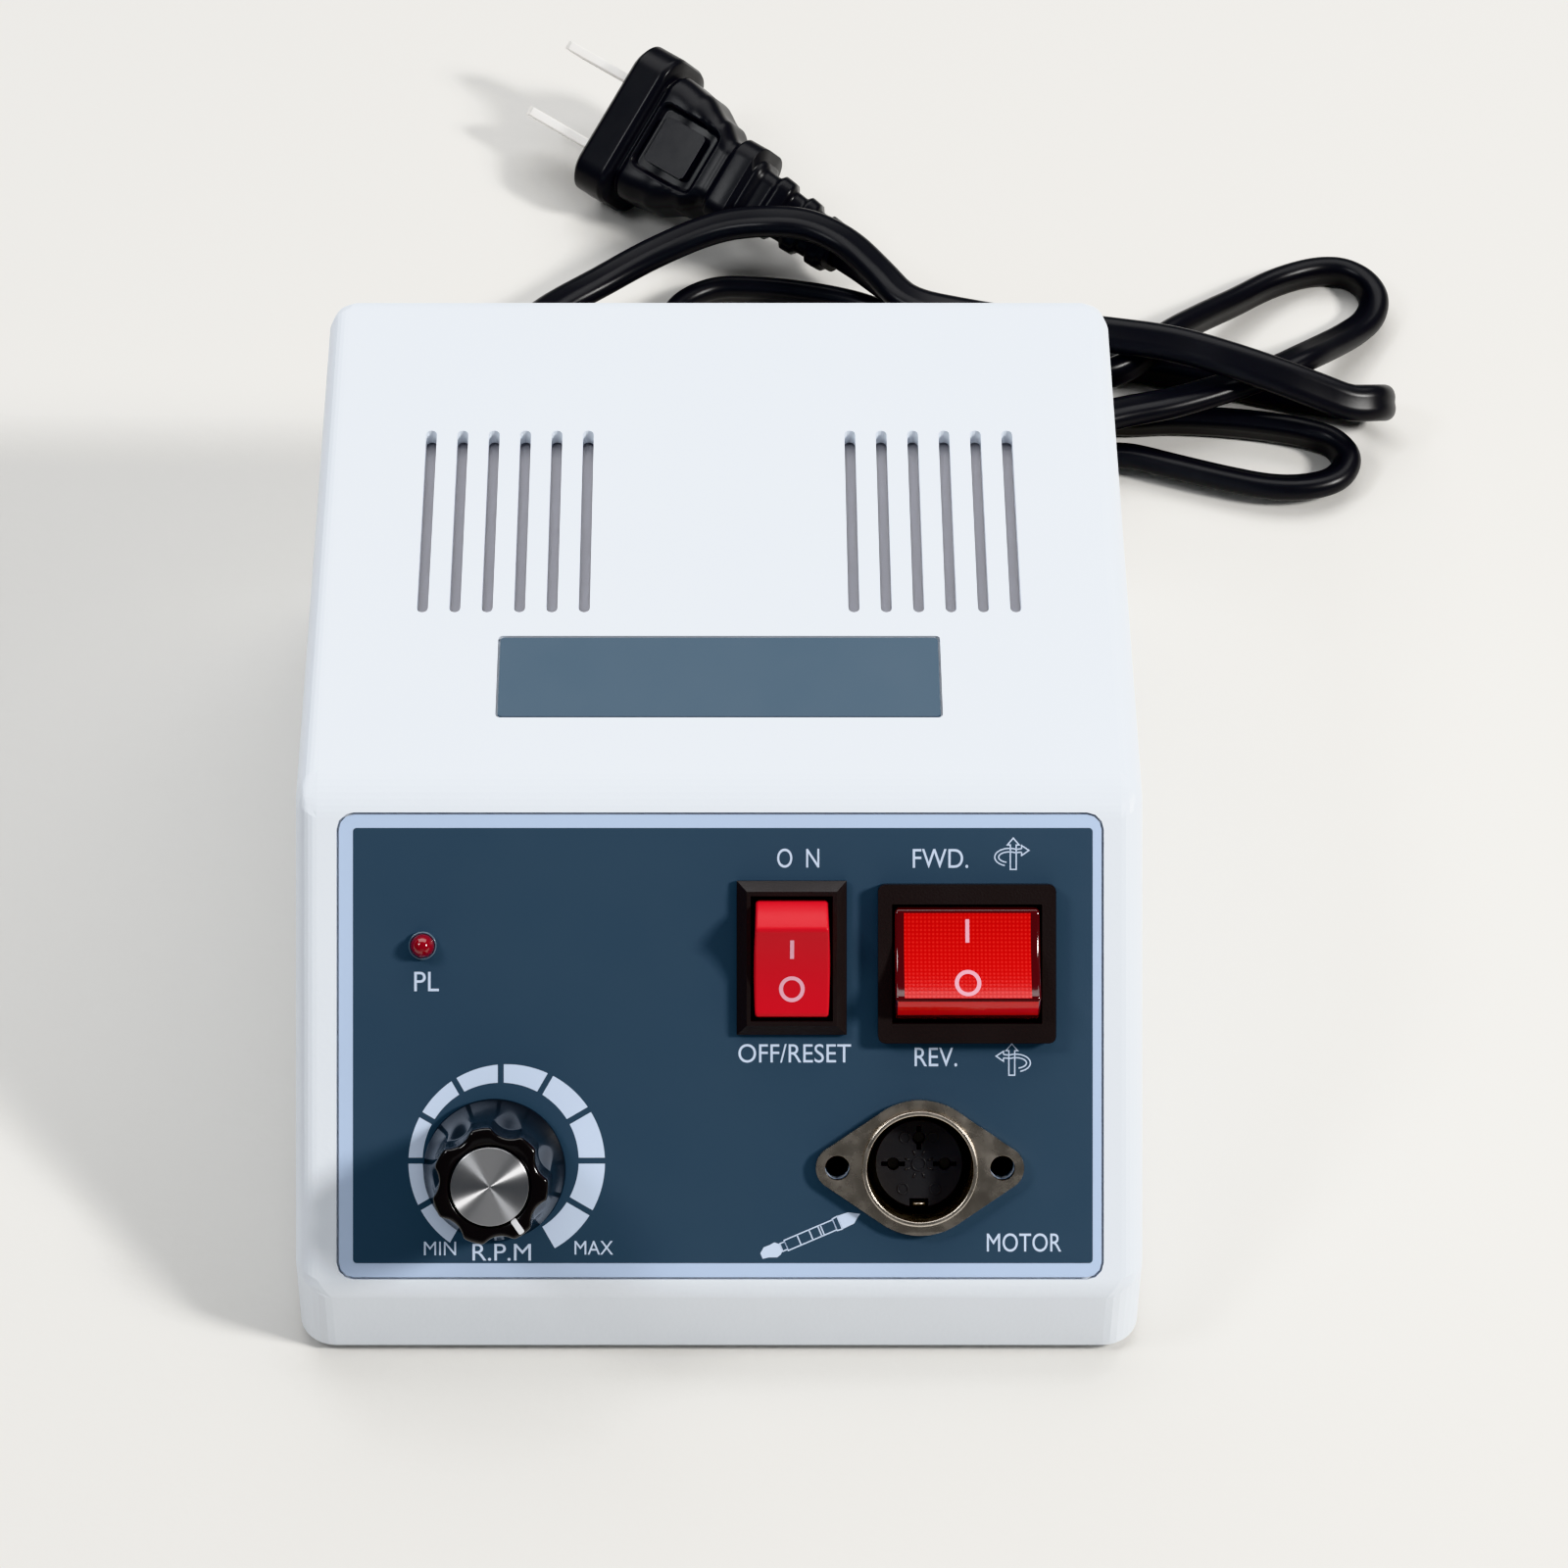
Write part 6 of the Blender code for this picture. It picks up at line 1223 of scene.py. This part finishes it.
def make_rockers(red, lens, grid, band, paint):
    place = Matrix.Translation(POWER_PIVOT) @ Matrix.Rotation(POWER_TURN, 4, "X")
    body = "power_rocker_assembly"
    cap = rocker_mesh(POWER_RADIUS, POWER_WIDTH, POWER_BULGE, POWER_EDGE)
    dress("power_rocker_cap", cap, red, body, ["power_rocker"], place)
    marks = rocker_marks(POWER_RADIUS, POWER_BAR, POWER_RING)
    dress("power_rocker_marks", marks, paint, body, place=place)
    place = direction_place()
    body = "direction_rocker_assembly"
    cap = rocker_mesh(DIRECTION_RADIUS, DIRECTION_WIDTH, DIRECTION_BULGE, DIRECTION_EDGE)
    dress("direction_rocker_lens", cap, lens, body, ["direction_rocker"], place)
    dress("direction_rocker_grid", lens_grid_sheet(), grid, body, place=place)
    dress("direction_rocker_band", lens_band_sheet(), band, body, place=place)
    marks = rocker_marks(DIRECTION_RADIUS + 2 * LENS_LIFT, DIRECTION_BAR, DIRECTION_RING)
    dress("direction_rocker_marks", marks, paint, body, place=place)


# Slot liners


def make_slot_liners(grey):
    """A pale grey sheet under the roof behind each group of cooling slots; its grey is painted shade
    for the depth of the slots.
    """
    for name, (left, right) in zip(("left", "right"), LINER_SPANS):
        sheet = flat_shape([rounded_box(left, right, *LINER_ENDS, LINER_CORNER)], LINER_THICKNESS)
        sheet.transform(Matrix.Translation((0, 0, LINER_TOP - LINER_THICKNESS / 2)))
        dress(f"slot_liner_{name}", sheet, grey, "box")


# Cord


def smooth_curve(route, steps):
    """Centripetal Catmull-Rom curve through the route's points."""
    points = [route[0] * 2 - route[1], *route, route[-1] * 2 - route[-2]]
    curve = []
    for index in range(1, len(points) - 2):
        a, b, c, d = points[index - 1 : index + 3]
        knots = [0.0]
        for start, end in ((a, b), (b, c), (c, d)):
            knots.append(knots[-1] + math.sqrt((end - start).length))
        for step in range(steps):
            at = knots[1] + (knots[2] - knots[1]) * step / steps
            ab = a.lerp(b, at / knots[1])
            bc = b.lerp(c, (at - knots[1]) / (knots[2] - knots[1]))
            cd = c.lerp(d, (at - knots[2]) / (knots[3] - knots[2]))
            abc = ab.lerp(bc, at / knots[2])
            bcd = bc.lerp(cd, (at - knots[1]) / (knots[3] - knots[1]))
            curve.append(abc.lerp(bcd, (at - knots[1]) / (knots[2] - knots[1])))
    curve.append(points[-2])
    return curve


def smoothed(vectors, reach):
    """Each vector as the mean of its neighbours on both sides, as many on each."""
    result = []
    for index in range(len(vectors)):
        near = min(reach, index, len(vectors) - 1 - index)
        nearby = vectors[index - near : index + near + 1]
        result.append(sum(nearby, Vector()) / len(nearby))
    return result


def directions(path):
    """The way that the path goes at each of its points."""
    ahead = [*path[1:], path[-1]]
    behind = [path[0], *path[:-1]]
    return [(after - before).normalized() for before, after in zip(behind, ahead)]


def cord_section():
    """A flat two-core lead: two round halves with a shallow groove between them."""
    points = []
    for x, y in circle(1):
        x = math.copysign(abs(x) ** CORD_SQUARENESS, x)
        groove = 1 - CORD_GROOVE_SHARE * math.exp(-((x / CORD_GROOVE_WIDTH) ** 2))
        points.append((CORD_WIDTH / 2 * x, CORD_THICKNESS / 2 * y * groove))
    return points


def cord_twist(at):
    """How far the lead's wide axis is turned at a place counted in the route's points."""
    for (start, first), (end, second) in zip(CORD_TWISTS, CORD_TWISTS[1:]):
        if at <= end:
            return math.radians(first + (second - first) * (at - start) / (end - start))
    return math.radians(CORD_TWISTS[-1][1])


def cord_sides(path):
    """The direction of the lead's wide axis along the path, from flat to the view plus the twists."""
    towards = Vector((0, -math.sin(CAMERA_TILT), math.cos(CAMERA_TILT)))
    sides = []
    for index, along in enumerate(directions(path)):
        facing = along.cross(towards)
        across = facing.normalized()
        up = across.cross(along)
        turn = cord_twist(index / CORD_CURVE_STEPS)
        side = (across * math.cos(turn) + up * math.sin(turn)) * facing.length
        if sides and side.dot(sides[-1]) < 0:
            side.negate()
        sides.append(side)
    return smoothed(sides, CORD_SIDE_SMOOTHING)


def swept(path, section, sides):
    """A closed tube: the section's points swept along the path, with one side direction a point."""
    rings = []
    for point, along, side in zip(path, directions(path), sides):
        side = (side - along * side.dot(along)).normalized()
        lift = side.cross(along)
        rings.append([point + side * x + lift * y for x, y in section])
    return tube(rings)


def make_cord(glossy):
    place = plug_matrix()
    route = [Vector(CORD_EXIT)]
    route += [Vector(point) + CASING_PLACE for point in CORD_ROUTE]
    for gap in (CORD_WIDTH, PLUG_END_GAP):
        route.append(place @ (PLUG_END + PLUG_END_DIRECTION * gap))
    path = smoothed(smooth_curve(route, CORD_CURVE_STEPS), CORD_SMOOTHING)
    mesh = swept(path, cord_section(), cord_sides(path))
    cord = dress("power_cord_lead", mesh, glossy, "box", ["power_cord"])


# Plug


def plug_matrix():
    """Where the plug lies in the world: turned to its heading, then rolled about its own axis."""
    axis = Vector((math.cos(PLUG_HEADING), math.sin(PLUG_HEADING), 0))
    level = Vector((-math.sin(PLUG_HEADING), math.cos(PLUG_HEADING), 0))
    across = level * math.cos(PLUG_ROLL) + Vector((0, 0, math.sin(PLUG_ROLL)))
    turn = Matrix((across, axis.cross(across), axis)).transposed().to_4x4()
    return Matrix.Translation(CASING_PLACE + PLUG_FACE) @ turn


def plug_spine(share):
    """A point and a direction on the plug's middle line, which bends beyond the straight part."""
    start = Vector((0, 0, PLUG_LENGTH * PLUG_STRAIGHT_SHARE))
    if share <= PLUG_STRAIGHT_SHARE:
        return Vector((0, 0, PLUG_LENGTH * share)), Vector((0, 0, 1))
    along = (share - PLUG_STRAIGHT_SHARE) / (1 - PLUG_STRAIGHT_SHARE)
    pull = (PLUG_END - start).length / 3
    before_end = PLUG_END - PLUG_END_DIRECTION * pull
    guide = [start, start + Vector((0, 0, pull)), before_end, PLUG_END]
    while len(guide) > 2:
        guide = [a.lerp(b, along) for a, b in zip(guide, guide[1:])]
    return guide[0].lerp(guide[1], along), (guide[1] - guide[0]).normalized()


def plug_size(share):
    """The plug's width and thickness there, as shares of its own."""
    table = PLUG_SECTION_SHARES
    for low, high in zip(table, table[1:]):
        if share <= high[0]:
            along = (share - low[0]) / (high[0] - low[0])
            ease = along * along * (3 - 2 * along)
            return tuple(a + (b - a) * ease for a, b in zip(low[1:], high[1:]))
    return table[-1][1:]


def plug_stations():
    """Along the plug: the place, the width and the thickness, as shares, with the ribs at its end."""
    stations = []
    for step in range(PLUG_BODY_STEPS + 1):
        share = PLUG_STRAIGHT_SHARE * step / PLUG_BODY_STEPS
        stations.append((share, *plug_size(share)))
    rib_steps = RELIEF_RIB_STEPS * (2 * RELIEF_RIBS - 1)
    for step in range(1, rib_steps + 1):
        along = step / rib_steps
        ends = zip(RELIEF_START_SHARES, RELIEF_END_SHARES)
        share, width, thickness = (start + (end - start) * along for start, end in ends)
        wave = math.cos(2 * math.pi * along * (RELIEF_RIBS - 0.5)) * RELIEF_STEEPNESS
        depth = 0.5 - 0.5 * max(-1.0, min(1.0, wave))
        groove = 1 - (1 - RELIEF_GROOVE_SHARE) * depth
        stations.append((share, width * groove, thickness * groove))
    return stations


def plug_section(width, thickness):
    """A rounded rectangle with as many points whatever its size, closely set on its broad sides."""
    radius = min(width, thickness) / 2 * PLUG_ROUND_SHARE
    half_x = width / 2
    half_y = thickness / 2
    corners = rounded_box(-half_x, half_x, -half_y, half_y, radius, PLUG_CORNER_STEPS)
    size = PLUG_CORNER_STEPS + 1
    points = []
    for quarter in range(4):
        bend = corners[quarter * size : (quarter + 1) * size]
        start = Vector(bend[-1])
        end = Vector(corners[(quarter + 1) * size % len(corners)])
        steps = PLUG_SIDE_STEPS if quarter % 2 else PLUG_FACE_STEPS
        points += bend
        points += [tuple(start.lerp(end, step / steps)) for step in range(1, steps)]
    return points


def let_in(x, y, height, face):
    """A broad side's y, lowered to the floor of the square hollow round the middle pad."""
    inner = RECESS_SIZE / 2 - RECESS_CORNER
    across = abs(x) - inner
    along = abs(height - PAD_CENTRE) - inner
    outside = math.hypot(max(across, 0), max(along, 0)) + min(max(across, along), 0) - RECESS_CORNER
    share = max(0.0, min(1.0, -outside / RECESS_SOFT))
    level = face - RECESS_DEPTH * share * share * (3 - 2 * share)
    return math.copysign(min(abs(y), level), y)


def plug_moulding():
    """The plug's body and its ribbed strain relief."""
    rings = []
    for share, width_share, thickness_share in plug_stations():
        width = PLUG_WIDTH * width_share
        thickness = PLUG_THICKNESS * thickness_share
        middle, direction = plug_spine(share)
        turn = Vector((0, 0, 1)).rotation_difference(direction)
        ring = []
        for x, y in plug_section(width, thickness):
            ring.append(middle + turn @ Vector((x, let_in(x, y, middle.z, thickness / 2), 0)))
        rings.append(ring)
    return tube(rings)


def plug_pad(side):
    """The square pad that stands in the hollow of one broad side."""
    half = PAD_SIZE / 2
    pad = flat_shape([rounded_box(-half, half, -half, half, PAD_CORNER)], PAD_THICKNESS)
    lean = Matrix.Rotation(side * PAD_LEAN + math.pi / 2, 4, "X")
    pad.transform(Matrix.Translation((0, side * PAD_LEVEL, PAD_CENTRE)) @ lean)
    return pad


def plug_blade(side):
    """A flat blade with a hole and two cut corners, across the plug's width."""
    half = BLADE_WIDTH / 2
    cut = BLADE_TIP - BLADE_LENGTH
    outline = [
        (-half, BLADE_ROOT), (-half, cut), (BLADE_TIP - half, -BLADE_LENGTH),
        (half - BLADE_TIP, -BLADE_LENGTH), (half, cut), (half, BLADE_ROOT),
    ]
    hole = circle(BLADE_HOLE_RADIUS, (0, BLADE_HOLE_PLACE), BLADE_HOLE_STEPS)
    blade = flat_shape([outline, hole], BLADE_THICKNESS)
    on_edge = Matrix(((0, 0, 1, 0), (1, 0, 0, 0), (0, 1, 0, 0), (0, 0, 0, 1)))
    blade.transform(Matrix.Translation((side * BLADE_SPACING / 2, 0, 0)) @ on_edge)
    return blade


def make_plug(glossy, bright):
    place = plug_matrix()
    dress("plug_moulding", plug_moulding(), glossy, "box", ["plug_body"], place)
    pads = joined([plug_pad(side) for side in (-1, 1)])
    dress("plug_pads", pads, glossy, "box", place=place, soft_edge=PAD_EDGE)
    for name, side in (("left", -1), ("right", 1)):
        node = f"plug_blade_{name}"
        dress(f"plug_pin_{name}", plug_blade(side), bright, "box", [node], place, BLADE_EDGE)


# Camera and stage


def set_camera():
    data = bpy.data.cameras.new("camera")
    data.lens = CAMERA_LENS
    data.sensor_width = CAMERA_SENSOR
    data.shift_x, data.shift_y = CAMERA_SHIFT
    camera = link("camera", data)
    camera.location = CAMERA_PLACE
    camera.rotation_euler = (CAMERA_TILT, 0, 0)
    bpy.context.scene.camera = camera


def add_light(name, direction, distance, size, power, colour):
    data = bpy.data.lights.new(name, "AREA")
    data.shape = "RECTANGLE"
    data.size, data.size_y = size
    data.energy = power
    data.color = colour
    light = link(name, data)
    towards = Vector(direction).normalized()
    light.location = LIGHT_AIM + towards * distance
    light.rotation_euler = (-towards).to_track_quat("-Z", "Y").to_euler()


def add_stage():
    reach = FLOOR_REACH
    corners = [(-reach, -reach, 0), (reach, -reach, 0), (reach, reach, 0), (-reach, reach, 0)]
    mesh = bpy.data.meshes.new("floor")
    mesh.from_pydata(corners, [], [(0, 1, 2, 3)])
    floor = link("floor", mesh)
    material = new_material("floor", FLOOR_COLOUR, FLOOR_ROUGHNESS)
    add_bump(material, noise_of(material, FLOOR_GRAIN_SCALE), FLOOR_GRAIN_DEPTH, FLOOR_GRAIN_SHARE)
    mesh.materials.append(material)
    for light in LIGHTS:
        add_light(*light)
    world = bpy.data.worlds.new("world")
    bpy.context.scene.world = world
    world.use_nodes = True
    background = world.node_tree.nodes["Background"]
    background.inputs["Color"].default_value = (*WORLD_COLOUR, 1)
    background.inputs["Strength"].default_value = WORLD_STRENGTH
    bpy.context.scene.view_settings.view_transform = "Khronos PBR Neutral"


def paint_nodes(material, *names):
    """A better material on CAD nodes that keep their own shape."""
    for name in names:
        slots = NODES[name].material_slots
        for slot in slots:
            slot.material = material
        if not slots:
            NODES[name].data.materials.append(material)


def four(name):
    """The names of four alike nodes."""
    return [f"{name}_{number}" for number in range(1, 5)]


# Build

set_camera()

casing = moulded("casing_abs", (0.855, 0.90, 0.96), 0.4, scale=1500)
base_abs = moulded("base_abs", (0.62, 0.66, 0.73), 0.5, scale=1500, depth=0.00004)
border = moulded("overlay_border", (0.54, 0.66, 0.86), 0.36, depth=0.000005, specular=0.3)
field = moulded("overlay_field", (0.058, 0.090, 0.132), 0.42, depth=0.000005, specular=0.3)
legend = moulded("overlay_legend", (0.66, 0.77, 0.95), 0.45, depth=0.000002, specular=0.3)
label = moulded("label_plate", (0.072, 0.118, 0.168), 0.42, depth=0.000005, specular=0.3)
bezel_black = moulded(
    "bezel_black", (0.024, 0.020, 0.020), 0.42, scale=3200, depth=0.00004, specular=0.4
)
inner_black = moulded("socket_black", (0.045, 0.045, 0.048), 0.3, depth=0.00001)
knob_black = moulded(
    "knob_black", (0.011, 0.010, 0.010), 0.16, scale=700, depth=0.000004, coat=0.15
)
cord_black = moulded(
    "cord_black", (0.013, 0.013, 0.015), 0.32, scale=700, depth=0.00001, specular=0.3
)
rocker_red = moulded("rocker_red", (0.64, 0.024, 0.034), 0.35, depth=0.000006, specular=0.3)
mark_white = moulded("mark_white", (0.86, 0.44, 0.54), 0.4, depth=0.000002, specular=0.3)
paint_white = moulded("paint_white", (0.78, 0.79, 0.82), 0.35, depth=0.000002)
nickel = metal("nickel_plate", (0.62, 0.56, 0.49), 0.24)
bright = metal("blade_bright", (0.95, 0.93, 0.90), 0.5)
shader_of(bright).inputs["Metallic"].default_value = BLADE_METALLIC
zinc = metal("zinc_plate", (0.34, 0.34, 0.35), 0.4)
steel = metal("core_steel", (0.16, 0.16, 0.17), 0.5)
aluminium = metal("heatsink_aluminium", (0.62, 0.63, 0.65), 0.35)
brass = metal("contact_brass", (0.70, 0.50, 0.22), 0.3)
# Socket contacts: metal painted dark for the shade deep in their holes
contact = metal("contact_painted_shade", (0.10, 0.095, 0.09), 0.3)
# Grey of the sheets behind the cooling slots: painted shade for the depth of the slots
liner = moulded("liner_painted_shade", (0.58, 0.56, 0.585), 0.7, scale=900, depth=0.00005)
tape = moulded("coil_tape", (0.60, 0.40, 0.06), 0.4)
board = moulded("board_green", (0.01, 0.12, 0.04), 0.3)
rubber = moulded("foot_rubber", (0.015, 0.015, 0.016), 0.75, scale=900, depth=0.00006)
inner_white = moulded("connector_white", (0.72, 0.70, 0.62), 0.5)
cap_middle = knob_frame() @ Vector((0, 0, CAP_TOP))
spun = spun_metal("spun_aluminium", (0.62, 0.62, 0.63), 0.34, cap_middle)
lens = moulded("lens_red", (0.075, 0.004, 0.005), 0.1, depth=0.000003, coat=1.0)
lens_grid = dotted_red()
lens_band = moulded("lens_band", (0.62, 0.004, 0.005), 0.16, depth=0.000003, coat=0.5)
lamp_red = moulded("lamp_red", (0.26, 0.004, 0.010), 0.06, depth=0.000002, coat=1.0)
lamp_clear = moulded("lamp_clear", (0.13, 0.18, 0.23), 0.08, depth=0.000002, coat=1.0)

make_plug(cord_black, bright)
make_cord(cord_black)
paint_nodes(casing, "top_housing")
paint_nodes(base_abs, "base_plate")
paint_nodes(border, "control_overlay")
paint_nodes(label, "name_plate")
paint_nodes(bezel_black, "power_switch_body", "direction_switch_body", "led_holder", "cord_bushing")
paint_nodes(bezel_black, "fuse_holder_body", "fuse_nut", "fuse_cap", "smoothing_capacitor")
paint_nodes(bezel_black, "bridge_rectifier", "power_transistor")
paint_nodes(rubber, *four("rubber_foot"))
paint_nodes(zinc, *four("case_screw"), *four("board_screw"))
paint_nodes(zinc, "transformer_screw_1", "transformer_screw_2", "transformer_bracket")
paint_nodes(zinc, "pot_body", "pot_nut")
paint_nodes(steel, "transformer_core")
paint_nodes(tape, "transformer_coil")
paint_nodes(aluminium, "heatsink", "pot_shaft")
paint_nodes(nickel, "glass_fuse")
paint_nodes(board, "circuit_board")
paint_nodes(inner_white, "output_connector")
paint_nodes(brass, "power_contact_lever", "power_plunger")
paint_nodes(brass, "direction_contact_lever", "direction_plunger")
paint_nodes(contact, "socket_contact_left", "socket_contact_top", "socket_contact_right")
make_panel_print(field, legend)
make_knob(knob_black, spun, paint_white)
make_lamp(lamp_red, lamp_clear)
make_socket(nickel, inner_black)
make_rockers(rocker_red, lens, lens_grid, lens_band, mark_white)
make_slot_liners(liner)
add_stage()
